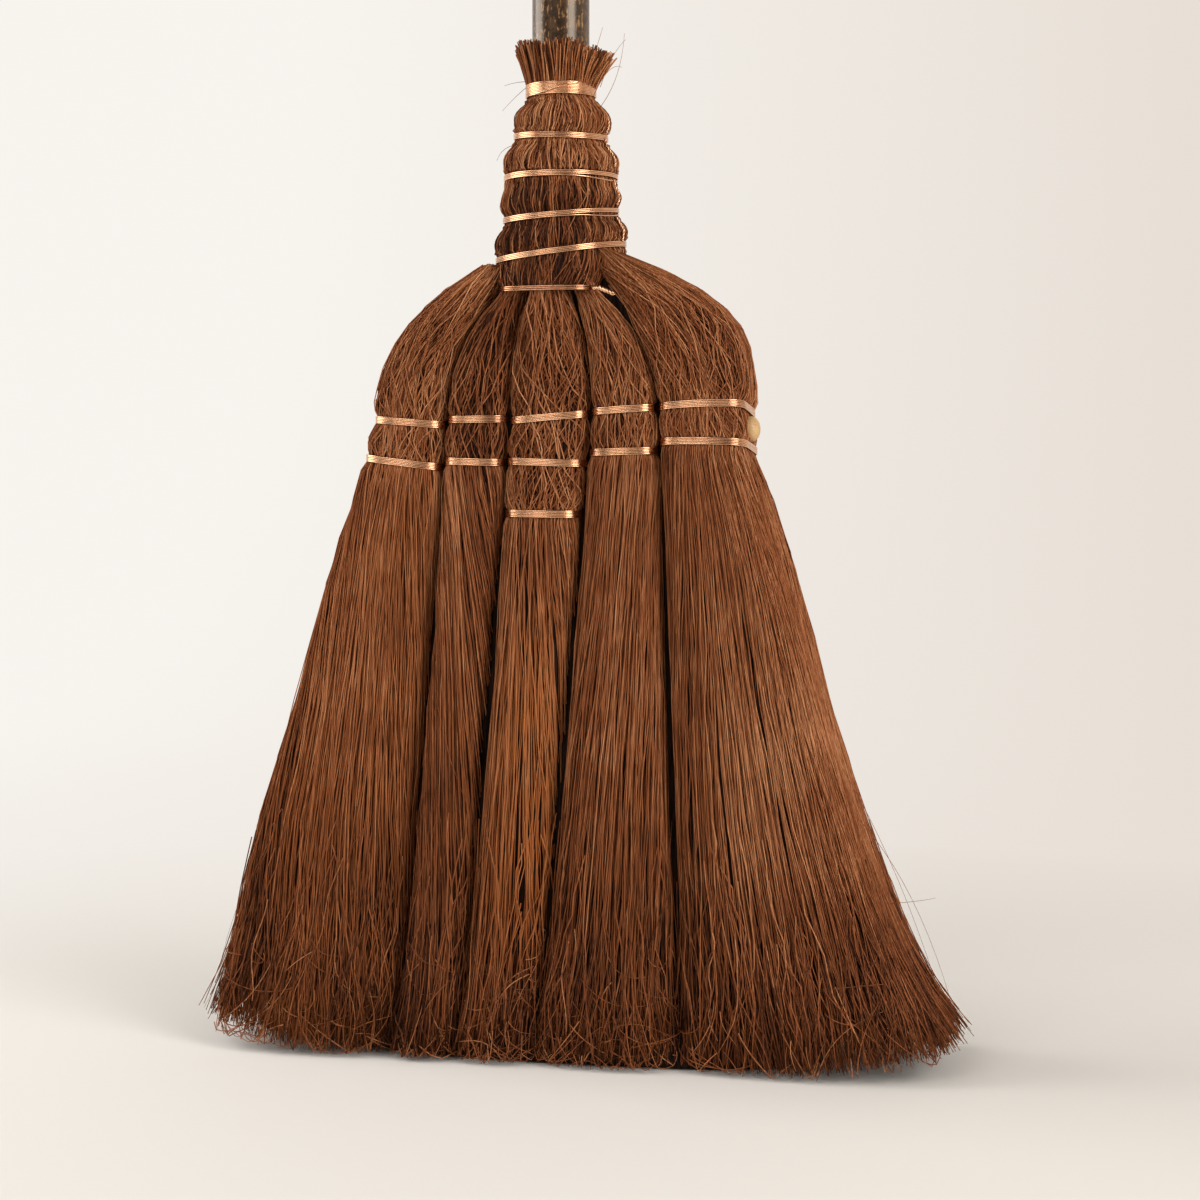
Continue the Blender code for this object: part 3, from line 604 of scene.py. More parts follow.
@dataclass
class Course:
    """A run of fibre from low to high, as an outline and a plane at each knot.

    An outline's point at angle a is middle + reach * rho * cos(a) in X and
    depth * rho * sin(a) * (1 - crown * (rho cos a)^2) in Y, with
    rho = (|cos a|^n + |sin a|^n)^(-1 / n), moved out by a lift square to it. The crown
    rounds the front of a boxy outline. Its height is height + lean * across + tip * back.
    """

    left: Array
    right: Array
    depth: Array
    fullness: Array
    height: Array
    lean: Array
    tip: Array
    pinch: Array
    bulge: Array

    @staticmethod
    def ring(sizes: tuple[Array | float, ...], band: Band) -> "Course":
        """Gives one knot in a binding's plane, from left, right, half depth and fullness."""
        knot = (*sizes, band.height, band.lean, band.tip, 0.0, 0.0)
        return Course(*(value * np.ones(1) for value in knot))

    def at(self, knot: Array) -> "Course":
        """Gives the course at fractional knots."""
        steps = np.arange(len(self.left))
        return Course(*(np.interp(knot, steps, value) for value in vars(self).values()))

    def knot_of(self, height: Array) -> Array:
        """Gives the fractional knot at a height."""
        return np.interp(height, self.height, np.arange(len(self.height)))

    def place(self, angle: Array, lift: Array | float) -> Array:
        """Gives points at angles and lifts.

        Args:
            angle: Angles round the outline, one for each of this course's knots.
            lift: How far out of the outline.

        Returns:
            The points.
        """
        cosine, sine = np.cos(angle), np.sin(angle)
        reach, middle = (self.right - self.left) / 2, (self.right + self.left) / 2
        power = self.fullness
        rho = (np.abs(cosine) ** power + np.abs(sine) ** power) ** (-1 / power)
        x, y = reach * rho * cosine, self.depth * rho * sine
        crown = CROWN * held((power - ROUND) / (BOXY - ROUND))
        out_x = np.sign(cosine) * np.abs(x / reach) ** (power - 1) / reach
        out_y = np.sign(sine) * np.abs(y / self.depth) ** (power - 1) / self.depth
        size = np.hypot(out_x, out_y)
        x = x + lift * out_x / size
        y = y * (1.0 - crown * (rho * cosine) ** 2) + lift * out_y / size
        return np.stack([middle + x, y, self.height + self.lean * x + self.tip * y], -1)

    def solid(self, corners: int, lift: Array | float) -> Surface:
        """Gives the closed solid through the outlines of all knots, moved out by a lift."""
        grid = Course(*(value[:, None] * np.ones(corners) for value in vars(self).values()))
        angle = np.linspace(-np.pi, np.pi, corners + 1)[None, :-1]
        return sleeve(grid.place(angle * np.ones((len(self.left), 1)), lift))

    def speed(self, angle: Array) -> Array:
        """Gives how far the outline runs for one radian."""
        reach = (self.right - self.left) / 2
        return np.hypot(reach * np.sin(angle), self.depth * np.cos(angle))

    def even_angles(self, knot: float, share: Array) -> Array:
        """Gives angles that divide the outline evenly.

        Args:
            knot: Where along the course.
            share: Places from 0 to 1, from the left side by way of the front.

        Returns:
            The angles, from -pi to pi.
        """
        angle = np.linspace(-np.pi, np.pi, RING_SAMPLES)
        ring = self.at(np.full(RING_SAMPLES, knot)).place(angle, 0.0)
        length = np.linalg.norm(np.diff(ring, axis=0), axis=1)
        total = np.concatenate([[0.0], np.cumsum(length)])
        return np.interp(share, total / total[-1], angle)


@dataclass(frozen=True)
class HeadShape:
    """The head's outline and seams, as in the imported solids.

    Gap shares say how wide the seams' gap is at the gap heights, and insets how far the
    outermost strands stand in from the solid's side, on the left and on the right. A trim
    is a side, how far its cut ends rise, and where in X and over what width they do.
    """

    neck_base: float = 0.300
    level: float = 0.2424
    tip_half_width: float = 0.150
    band_half_width: float = 0.075
    tip_half_depth: float = 0.034
    band_half_depth: float = 0.0195
    join_rise: float = 0.006
    join_width: Pair = (0.0256, 0.0270)
    shoulder_fullness: Pair = (2.4, 4.0)
    shoulder_softness: float = 1.1
    seam_fullness: float = 2.4
    shoulder_wire: float = 0.2923
    overshoot: float = 1.2
    hollow_height: float = 0.2905
    hollow_half: float = 0.0065
    band_fullness: float = 8.0
    tip_fullness: float = 7.0
    foot_splay: float = 0.0065
    splay_below: float = 0.045
    round_below: float = 0.09
    tuck_start: float = 0.3035
    tuck_rise: float = 0.006
    tuck_half: float = 0.0205
    gap_heights: tuple[float, ...] = (0.0, 0.03, 0.07, 0.20, 0.222, 0.26, 0.31)
    gap_shares: tuple[float, ...] = (0.2, 0.7, 1.3, 1.3, 0.4, 0.6, 0.15)
    trims: tuple[tuple[float, float, float, float], ...] = (
        (-1.0, 0.015, 0.085, 0.065), (1.0, 0.010, 0.095, 0.055))
    inset_heights: tuple[float, ...] = (
        0.0, 0.03, 0.05, 0.08, 0.13, 0.20, 0.215, 0.226, 0.236, 0.25, 0.27, 0.285, 0.30)
    insets: tuple[tuple[float, ...], tuple[float, ...]] = (
        (0.0170, 0.0112, 0.0078, 0.0046, 0.0050, 0.0030, 0.0040, 0.0052, 0.0042, 0.0040, 0.0032,
         0.0018, 0.0006),
        (0.0004, 0.0018, 0.0030, 0.0052, 0.0056, 0.0024, 0.0034, 0.0052, 0.0026, 0.0008, 0.0008,
         0.0010, 0.0010))
    seams: tuple[Seam, ...] = (
        Seam(-0.0155, -0.0200, -0.0422, -0.0590, 0.0028),
        Seam(-0.0070, -0.0085, -0.0173, -0.0340, 0.0),
        Seam(0.0050, 0.0075, 0.0147, -0.0040, 0.0),
        Seam(0.0150, 0.0180, 0.0403, 0.0520, 0.0062),
    )

    def shoulder_share(self, height: Array) -> Array:
        """Goes from 0 at the bindings' level to 1 at the shoulder wire."""
        return held((height - self.level) / (self.shoulder_wire - self.level))

    def neck_share(self, height: Array) -> Array:
        """Goes from 0 at the shoulder wire to 1 at the neck's base, and on both ways."""
        return (height - self.shoulder_wire) / (self.neck_base - self.shoulder_wire)

    def edge(self, height: Array, side: int) -> Array:
        """Gives the half width: straight below the bindings, a round shoulder above.

        The shoulder goes by (1 - rise^fullness)^softness, and an inset is taken off.

        Args:
            height: Heights.
            side: 0 for the left and 1 for the right.

        Returns:
            The half widths.
        """
        below = mix(self.tip_half_width, self.band_half_width, height / self.level)
        rise = held((height - self.level) / (self.neck_base + self.join_rise - self.level))
        share = (1.0 - rise ** self.shoulder_fullness[side]) ** self.shoulder_softness
        above = mix(self.join_width[side], self.band_half_width, share)
        inset = np.interp(height, self.inset_heights, self.insets[side])
        return np.where(height <= self.level, below, above) - inset

    def seam(self, index: int, height: Array) -> Array:
        """Gives a seam's place in X at heights: straight, then curved, then straight."""
        seam = self.seams[index]
        low = mix(seam.tips, seam.bands, height / self.level)
        curve = 1.0 - self.shoulder_share(height) ** self.seam_fullness
        middle = mix(seam.shoulder, seam.bands, curve)
        rise = self.neck_share(height)
        high = mix(seam.shoulder, seam.neck, np.clip(rise, 0.0, self.overshoot))
        return np.where(height <= self.level, low, np.where(rise <= 0.0, middle, high))

    def hollow(self, index: int, height: Array) -> Array:
        """Gives how far an outer bundle stands off the shoulder wire: (1 - offset^2)^2."""
        offset = (height - self.hollow_height) / self.hollow_half
        return self.seams[index].hollow * np.maximum(0.0, 1.0 - offset ** 2) ** 2

    def trim(self, across: Array) -> Array:
        """Gives the height of the cut ends: level, and rising at both sides."""
        return sum(rise * np.clip((side * across - start) / width, 0.0, 1.1) ** 1.5
                   for side, rise, start, width in self.trims)


def settle(points: Array, height: Array) -> None:
    """Puts points at heights, clear of the floor, and keeps them within the foot's depth."""
    points[..., 2] = np.maximum(height, FLOOR_GAP)
    points[..., 1] = np.clip(points[..., 1], -FOOT_DEPTH, FOOT_DEPTH)


# ---- The bundles ----

# Below these heights a strand is loose, is trimmed, gets thinner and is painted darker, as shade
# near the floor.
FREE_BELOW, TRIM_BELOW, THIN_BELOW, DARK_BELOW = 0.075, 0.05, 0.03, 0.125
CURL_LENGTH, FLOW_LENGTH = 0.011, 0.02
LEAST_SPEED = 0.004
# The strands stand evenly at this height, and those that lie deeper than this are painted darker,
# as shade.
LAY_HEIGHT = 0.12
UNDER_DEPTH, UNDER_EDGE = 0.0005, 0.0006
# How far strands weave, flow in bands, gather into locks and stray at their free ends.
WEAVE, FLOW, GATHER, STRAY = 0.00035, 0.0005, 0.0022, 0.0028
# How much calmer they are between foot and bindings, how much painted shade darkens them at the
# foot, and how much thinner they are there.
CALM_HEIGHTS, CALM_SHARES = (0.05, 0.10, 0.20, 0.225), (0.0, 1.0, 1.0, 0.0)
CALM, FOOT_SHADE, THINNING = 0.42, 0.30, 0.45
# The share of strands that are a little orange, and how much.
ORANGE_SHARE, ORANGE = 0.12, 0.10


@dataclass(frozen=True)
class Layer:
    """Strands laid over a course in one manner. Lengths are in metres.

    Low and high are where they start and end, span the share of the outline that they take, and a
    pair for lean, tone or depth is a middle and a spread, or two ends. The strands just below the
    outermost ones are painted darker by shade, as the shade that falls under the outer ones.
    """

    count: int
    high: Pair
    lean: Pair
    tone: Pair
    low: Pair = (0.0, 0.004)
    wave: float = 0.0006
    depth: Pair = (0.0, 0.0026)
    thick: Pair = (0.00042, 0.00062)
    span: Pair = (0.0, 1.0)
    loose: float = 0.0045
    warm: float = 0.0
    steps: int = 0
    shade: float = 0.32
    fan: float = 0.0
    swing: Pair = (0.035, 0.085)


@dataclass(frozen=True)
class Lay:
    """How a bundle's fibre lies.

    Lean is how far the lower strands run to the right as they come down, and fan how much
    more those on the right do. Count, tone and warm are the lower strands' number, light
    and orange. Cross and spread are how much the upper and the lower strands cross, and top
    is where the upper ones start to end.
    """

    lean: float
    count: int
    tone: float = 0.50
    cross: float = 0.13
    spread: float = 0.030
    fan: float = 0.0
    top: float = 0.3045
    warm: float = 0.0

    def layers(self, foot: float) -> tuple[Layer, ...]:
        """Gives the layers.

        Args:
            foot: The lowest binding's height.

        Returns:
            The strands below the lowest binding, those above it, and the loose ones.
        """
        ends = (foot - 0.001, foot + 0.001)
        return (
            Layer(int(self.count * 1.2), low=(0.0018, 0.0072), high=ends, wave=0.0005,
                  lean=(self.lean, self.spread), thick=(0.00036, 0.00055),
                  tone=(self.tone + 0.05, 0.12), fan=self.fan, warm=self.warm),
            Layer(int(self.count * 0.85), low=ends, high=(self.top, self.top + 0.0028),
                  lean=(0.0, self.cross), wave=0.0013, thick=(0.00036, 0.00054),
                  tone=(self.tone + 0.09, 0.13), shade=0.37, swing=(0.022, 0.060)),
            Layer(int(self.count * 0.20), low=(0.0010, 0.018), high=(0.045, 0.095),
                  lean=(0.0, 0.16), wave=0.0010, depth=(-0.0010, 0.0010), tone=(0.54, 0.15),
                  loose=0.006, steps=10))


@dataclass(frozen=True)
class Patch:
    """An orange patch on a bundle's front: a leaning upright oval round (x, z).

    Its strength is gain * exp(-across^2 - down^4). It is warmer, lighter and calmer.
    """

    gain: float = 0.0
    x: float = -0.0078
    z: float = 0.104
    lean: float = 0.073
    lean_from: float = 0.107
    half_width: float = 0.0125
    half_height: float = 0.058
    warmth: float = 0.70
    tone: float = 0.24
    calm: float = 0.55

    def strength(self, points: Array) -> Array:
        """Gives the patch's strength at points."""
        lean = self.lean * (points[..., 2] - self.lean_from)
        across = (points[..., 0] - self.x - lean) / self.half_width
        down = (points[..., 2] - self.z) / self.half_height
        return self.gain * np.exp(-(across ** 2) - down ** 4) * (points[..., 1] < 0.0)


@dataclass(frozen=True)
class Bundle:
    """One bound bundle: its seams, bindings, half depths at the top, and its strands.

    Glow is a lighter place, a painted sheen where the lamps catch the strands: its X and Z, its
    width and height, and how much lighter it is.
    End counts are the cut ends in an outer and in an inner bundle.
    """

    name: str
    seams: tuple[int | None, int | None]
    bands: tuple[Band, ...]
    neck_depth: float
    shoulder_depth: float
    top_fullness: float
    lay: Lay
    seed: int
    more_layers: tuple[Layer, ...] = ()
    shape: HeadShape = HeadShape()
    seam_gap: float = 0.0019
    groove: float = 0.0010
    wire_radius: float = 0.00028
    patch: Patch = Patch()
    top: float = 0.3085
    core_ends: Pair = (0.012, 0.3025)
    core_inset: float = 0.0024
    foot_inset: float = 0.007
    end_counts: tuple[int, int] = (900, 560)
    end_height: float = 0.040
    curl_count: int = 270
    tip_fullness: float = 7.0
    tone: float = 0.0
    # How strongly the deeper strands are painted darker, as shade.
    contrast: float = 1.0
    flare: float = 0.0
    curled: float = 1.0
    glow: tuple[float, float, float, float, float] = (0.0, 0.1, 0.02, 0.05, 0.0)

    def sides(self, height: Array) -> tuple[Array, Array]:
        """Gives the bundle's left and right ends in X at heights: a seam or the head's edge."""
        shape = self.shape
        first, second = self.seams
        half = self.seam_gap / 2 * np.interp(height, shape.gap_heights, shape.gap_shares)
        if first is None:
            right = shape.seam(second, height) - half - shape.hollow(second, height)
            return -shape.edge(height, 0), right
        if second is None:
            left = shape.seam(first, height) + half + shape.hollow(first, height)
            return left, shape.edge(height, 1)
        return shape.seam(first, height) + half, shape.seam(second, height) - half

    def section(self, height: Array) -> tuple[Array, Array, Array, Array]:
        """Gives the outline at heights, each size mixed from the foot, the bands and the top.

        Args:
            height: Heights.

        Returns:
            Left, right, half depth and fullness.
        """
        shape = self.shape
        left, right = self.sides(height)
        share = held(height / shape.level)
        depth = mix(shape.tip_half_depth, shape.band_half_depth, share)
        depth = depth + shape.foot_splay * near_floor(height, shape.splay_below) ** 1.3
        full = mix(shape.tip_fullness, shape.band_fullness, share)
        full = mix(full, self.tip_fullness, near_floor(height, shape.round_below) ** 1.5)
        tuck = held((height - shape.tuck_start) / shape.tuck_rise)
        left = mix(left, np.maximum(left, -shape.tuck_half), tuck)
        right = mix(right, np.minimum(right, shape.tuck_half), tuck)
        up = shape.shoulder_share(height) ** 2
        depth, full = mix(depth, self.shoulder_depth, up), mix(full, self.top_fullness, up)
        rise = shape.neck_share(height)
        high = mix(self.shoulder_depth, self.neck_depth, np.clip(rise, 0.0, shape.overshoot))
        return left, right, mix(depth, high, (rise > 0.0) * 1.0), full

    def course(self) -> Course:
        """Gives the bundle as a course, with close knots at each binding.

        The pinch is 1 at a binding and 0.8 at the shoulder wire. The bulge is a bell curve
        on both sides of a binding.
        """
        first, top = self.bands[0].height, self.bands[-1].height
        rows = [(height, 0.0, 0.0) for height in np.linspace(0.0, first - 0.016, 11)]
        for band in self.bands:
            rows += [(band.height + step, band.lean, band.tip) for step in BAND_STEPS]
        rows += [(height, 0.0, 0.0) for height in np.linspace(top + 0.012, self.top, 8)]
        height, lean, tip = np.array(rows).T
        near = np.min([np.abs(height - band.height) for band in self.bands], axis=0)
        pinch = held((PINCH_HALF - near) / PINCH_EDGE)
        if None not in self.seams:
            wired = np.abs(height - self.shape.shoulder_wire)
            pinch = np.maximum(pinch, 0.8 * bell(wired, 0.004))
        bulge = bell(near - BULGE_AT, BULGE_WIDTH)
        return Course(*self.section(height), height, lean, tip, pinch, bulge)

    def core(self) -> Surface:
        """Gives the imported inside: the course's rings, drawn in, and narrower at the foot."""
        course = self.course()
        low, high = self.core_ends
        keep = np.flatnonzero((course.height > low) & (course.height < high))
        inside = course.at(keep.astype(float))
        foot = self.foot_inset * near_floor(inside.height, self.shape.round_below)
        lift = -self.core_inset - 0.0004 * inside.pinch + 0.0004 * inside.bulge - foot
        return inside.solid(48, lift[:, None])

    def ring_of(self, band: Band) -> Course:
        """Gives the groove's floor at a binding, as a course of one knot."""
        left, right, depth, full = self.section(np.array([band.height]))
        grown = -self.groove + WIRE_GAP + self.wire_radius
        sizes = (left - grown - WIRE_GAP, right + grown + WIRE_GAP, depth + grown, full)
        return Course.ring(sizes, band)

    def build(self, palette: Palette) -> None:
        """Builds and dresses the bundle, its free fibres and its windings."""
        rng = np.random.default_rng(self.seed)
        bundle, fibres = f"{self.name}_bundle", f"{self.name}_fibres"
        stand_in(self.core().build(f"{self.name}_core", palette.shade_fill), Slot.FIBRE, bundle)
        layers = (*self.lay.layers(self.bands[0].height), *self.more_layers)
        for index, layer in enumerate(layers, 1):
            strands = Strands(self, layer, rng).surface()
            item = strands.build(f"{self.name}_strands_{index}", palette.fibre)
            stand_in(item, Slot.FIBRE, bundle, fibres)
        item = joined([self.brush(rng), self.curls(rng)]).build(f"{self.name}_ends", palette.fibre)
        stand_in(item, Slot.ENDS, fibres)
        for label, band in zip(BAND_LABELS[-len(self.bands):], self.bands):
            winding = Winding(f"{self.name}_{label}_winding", self.ring_of(band), band.turns,
                              self.wire_radius, seed=self.seed + int(band.height * 1e4))
            winding.build(palette, f"{self.name}_{label}_wire")

    def brush(self, rng: Random) -> Surface:
        """Gives the cut ends all through the bundle's foot: upright strands inside it.

        A point is middle + (rim - middle) * inner, with a sway that is greatest at the floor.
        """
        count, steps = self.end_counts[None not in self.seams], 5
        fall = np.linspace(1.0, 0.0, steps)
        course = self.course()
        inner = np.sqrt(rng.random(count))[:, None] * 0.97
        height = np.linspace(0.0, self.end_height, steps)[None]
        height = height + rng.uniform(0.0, 0.0025, (count, 1))
        run = course.at(course.knot_of(height))
        start = course.even_angles(0.0, rng.random(count))[:, None]
        rim = run.place(start * np.ones_like(run.height), 0.0)
        middle = np.stack([(run.left + run.right) / 2, np.zeros_like(run.left), run.height], -1)
        points = middle + (rim - middle) * inner[..., None]
        points[..., :2] += rng.normal(0.0, 0.0022, (count, 1, 2)) * fall[None, :, None] ** 1.4
        height = height + 0.0035 * held((inner - 0.80) / 0.15) * fall
        cut = self.shape.trim(points[..., 0]) * np.linspace(1.0, 0.2, steps)[None]
        settle(points, height + cut)
        radii = rng.uniform(0.00045, 0.0007, count)[:, None] / 2 * np.array((0.7, 0.9, 1, 1, 1))
        # The low tone is painted shade: these ends stand for the dark gap under the foot.
        return hairs(points, radii, scatter(rng, count, 0.18, 0.16, 0.02, 1.0), 0.05)

    def curls(self, rng: Random) -> Surface:
        """Gives the bent and tangled ends on the outside of the foot.

        Each is an arc: from its start, its heading turns evenly as it runs, in the surface's
        own directions across and up.
        """
        count, steps = int(self.curl_count * self.curled), 11
        course = self.course()
        base = 0.006 + 0.040 * rng.random(count) ** 1.8
        start = course.even_angles(0.0, rng.random(count))[:, None]
        heading = rng.normal(-np.pi / 2, 0.70, count)[:, None]
        turn = rng.normal(0.0, 1.7 * self.curled, count)[:, None]
        share = np.linspace(0.0, 1.0, steps)[None]
        way = heading + turn * share
        step = rng.uniform(0.010, 0.036, count)[:, None] / (steps - 1)
        across = np.cumsum(np.cos(way) * step, axis=1)
        up = base[:, None] + np.cumsum(np.sin(way) * step, axis=1)
        up = np.where(up < 0.0015, 0.0030 - up, up)
        run = course.at(course.knot_of(np.clip(up, 0.0, 0.1)))
        angle = start + across / np.maximum(run.speed(start), LEAST_SPEED)
        lift = rng.uniform(-0.001, 0.0015, count)[:, None] + 0.0012 * np.sin(share * 4 + turn)
        points = run.place(angle, lift)
        settle(points, up + 0.6 * self.shape.trim(points[..., 0]))
        radii = rng.uniform(0.00036, 0.00052, count)[:, None] / 2 * (1.0 - 0.4 * share)
        return hairs(points, radii, scatter(rng, count, 0.50, 0.18, 0.05, 1.0), 0.08)


class Strands:
    """One layer of a bundle's strands, on chance numbers that are always drawn in one order.

    A strand's angle is its own, plus its slide over the outline's speed. Its free end is
    then spread and cut, and it gets thinner there.
    """

    def __init__(self, bundle: Bundle, layer: Layer, rng: Random) -> None:
        """Draws the chance numbers, a row for each strand, and spaces the strands evenly.

        Args:
            bundle: What the strands lie on.
            layer: How they lie.
            rng: The source of chance.
        """
        self.bundle, self.layer = bundle, layer
        count = layer.count
        low, high = rng.uniform(*layer.low, count), rng.uniform(*layer.high, count)
        share = mix(*layer.span, (rng.permutation(count) + rng.random(count)) / count)
        self.lean = rng.normal(*layer.lean, count)[:, None]
        self.phase = rng.uniform(0.0, 2 * np.pi, (4, count, 1))
        self.length = rng.uniform(*layer.swing, (2, count, 1))
        self.stray = rng.normal(0.0, 1.0, (count, 1))
        self.depth = rng.uniform(*layer.depth, count)[:, None]
        self.stand_off = rng.normal(0.1, 1.0, (count, 1))
        self.wisp = np.minimum(rng.exponential(1.0, (count, 1)) ** 2, 6.0)
        self.shift = rng.normal(0.0, STRAY, (count, 1))
        self.radius = rng.uniform(*layer.thick, count)[:, None] / 2
        self.own_tone = scatter(rng, count, 0.0, layer.tone[1], -0.4, 0.4)
        self.orange = layer.warm + ORANGE * (rng.random(count) < ORANGE_SHARE)[:, None]
        course = bundle.course()
        bottom, top = course.knot_of(low), course.knot_of(high)
        steps = layer.steps or int(round(float(np.mean(top - bottom)))) + 1
        knot = mix(bottom[:, None], top[:, None], np.linspace(0.0, 1.0, steps)[None])
        self.run = course.at(knot)
        self.start = course.even_angles(float(course.knot_of(LAY_HEIGHT)), share)[:, None]
        self.free = near_floor(self.run.height, FREE_BELOW) ** 2

    def slide(self) -> Array:
        """Gives how far each point runs sideways: lean * (drop - rise), and its waves.

        Drop and rise are how far it is below and above the lowest binding. Free ends also
        stray, curl and gather into locks.
        """
        layer, height, start, free = self.layer, self.run.height, self.start, self.free
        level = self.bundle.bands[0].height
        drop, rise = np.maximum(0.0, level - height), np.maximum(0.0, height - level)
        wave = np.sin(height / self.length[0] * 2 * np.pi + self.phase[0])
        wave = wave + 0.6 * np.sin(height / self.length[1] * 4 * np.pi + self.phase[1])
        curl = 0.7 * layer.loose * free * np.sin(height / CURL_LENGTH + self.phase[2])
        locks = np.sin(start * 23.0 + 1.7 * np.sin(start * 7.0 + self.bundle.seed))
        gather = -GATHER * free * locks
        slide = (self.lean + layer.fan * np.cos(start)) * (drop - rise) + layer.wave * wave
        return slide + layer.loose * free * self.stray + curl + gather

    def lift(self) -> Array:
        """Gives how far each point stands out: -depth, a weave and a flow, less at a binding."""
        layer, run = self.layer, self.run
        weave = WEAVE * np.sin(run.height / CURL_LENGTH + self.phase[3])
        flow = FLOW * np.sin(self.start * 9.0 + run.height / FLOW_LENGTH + self.bundle.seed)
        lift = -self.depth * (1.0 - 0.5 * run.pinch) + (weave + flow) * (1.0 - run.pinch)
        lift = lift + 0.0002 * run.bulge - 0.00100 * run.pinch
        lift = lift + self.free * (layer.loose * 0.30 * self.stand_off)
        if layer.high[0] > 0.28:
            lift = lift - 0.0018 * held((run.height - layer.high[0] + 0.0025) / 0.003)
        return lift

    def points(self) -> Array:
        """Gives the strands' points, with wisps on the flared side and the free ends cut."""
        run, flare = self.run, self.bundle.flare
        angle = self.start + self.slide() / np.maximum(run.speed(self.start), LEAST_SPEED)
        points = run.place(angle, self.lift())
        outward = held(np.sign(flare) * np.cos(self.start)) ** 3
        points[..., 0] += self.free * (self.shift + flare * outward * self.wisp)
        points[..., 0] = np.clip(points[..., 0], -FOOT_WIDTH, FOOT_WIDTH)
        cut = self.bundle.shape.trim(points[..., 0]) * held(1.0 - run.height / TRIM_BELOW)
        settle(points, points[..., 2] + cut)
        return points

    def tone(self, points: Array, patch: Array) -> Array:
        """Gives how light each point is.

        It is the strand's own tone, calmer between the foot and the bindings, darker just below the
        outermost strands and towards the floor as painted shade, and lighter at the glow, a painted
        sheen, and at the patch.
        """
        bundle, layer, height = self.bundle, self.layer, self.run.height
        calm = 1.0 - CALM * np.interp(height, CALM_HEIGHTS, CALM_SHARES)
        calm = calm * (1.0 - bundle.patch.calm * patch)
        tone = self.own_tone * calm + layer.tone[0] + bundle.tone
        tone = tone + 0.04 * np.sin(self.start * 5.0 + bundle.seed)
        # Painted shade: strands that lie below the outermost ones are darker.
        under = calm * held((self.depth - UNDER_DEPTH) / UNDER_EDGE)
        tone = tone - bundle.contrast * layer.shade * under
        # Painted shade towards the floor.
        tone = tone - FOOT_SHADE * near_floor(height, DARK_BELOW)
        # Painted sheen: lighter where the lamps catch the strands.
        x, z, width, tall, gain = bundle.glow
        tone = tone + gain * bell(points[..., 0] - x, width) * bell(points[..., 2] - z, tall)
        return tone + bundle.patch.tone * patch

    def surface(self) -> Surface:
        """Gives the strands as closed tubes, thinner near the floor, and orange in the patch."""
        points = self.points()
        spot = self.bundle.patch
        patch = spot.strength(points)
        radii = self.radius * (1.0 - THINNING * near_floor(self.run.height, THIN_BELOW))
        return hairs(points, radii, self.tone(points, patch), self.orange + spot.warmth * patch)


@dataclass(frozen=True)
class Winding:
    """Copper wire wound side by side round a ring, with its turns a little uneven.

    The wire's height at turn t is the ring's plane plus (t - turns / 2) * pitch, with a
    smooth chance error, and its angle runs evenly. The pitch is in wire radii.
    """

    name: str
    ring: Course
    turns: int
    radius: float
    seed: int
    corners: int = 72
    loose_turn: float = 0.0
    crossing: bool = False
    pitch: float = 2.02

    def path(self, rng: Random) -> Array:
        """Gives the wire's middle line, from the back by way of the left side."""
        count = self.turns * self.corners + 1
        step = np.arange(count)
        angle = np.pi / 2 + 2 * np.pi * step / self.corners
        turn = step / self.corners
        knots = np.arange(0, count + 9, 9)
        waver, lift = (np.interp(step, knots, rng.normal(0.0, spread, len(knots)))
                       for spread in (0.07, 0.06))
        points = self.ring.at(np.zeros(count)).place(angle, np.abs(lift) * self.radius)
        pitch = self.pitch * self.radius
        points[:, 2] += (turn - self.turns / 2) * pitch + waver * self.radius * 0.8
        if self.loose_turn:
            points[:, 2] -= self.loose_turn * bell(wrapped(angle + 0.35), 0.55) * (turn < 1.0)
        return points

    def build(self, palette: Palette, node: str) -> None:
        """Builds the winding in place of a CAD wire."""
        rng = np.random.default_rng(self.seed)
        surfaces = [wires(self.path(rng)[None], self.radius, UPWARD)]
        if self.crossing:
            surfaces.append(self.cross_over())
        stand_in(joined(surfaces).build(self.name, palette.copper), Slot.COPPER, node)

    def cross_over(self) -> Surface:
        """Gives a length of wire that crosses the turns on the outside, at the front."""
        share = np.linspace(-1.0, 1.0, 24)
        ring = self.ring.at(np.zeros(len(share)))
        points = ring.place(FRONT + 0.15 + 0.75 * share, self.radius * (1.9 - 2.4 * share ** 6))
        points[:, 2] += 0.8 * self.turns * self.radius * np.sin(share * np.pi / 2)
        return wires(points[None], self.radius, UPWARD)


# ---- Neck and collar ----

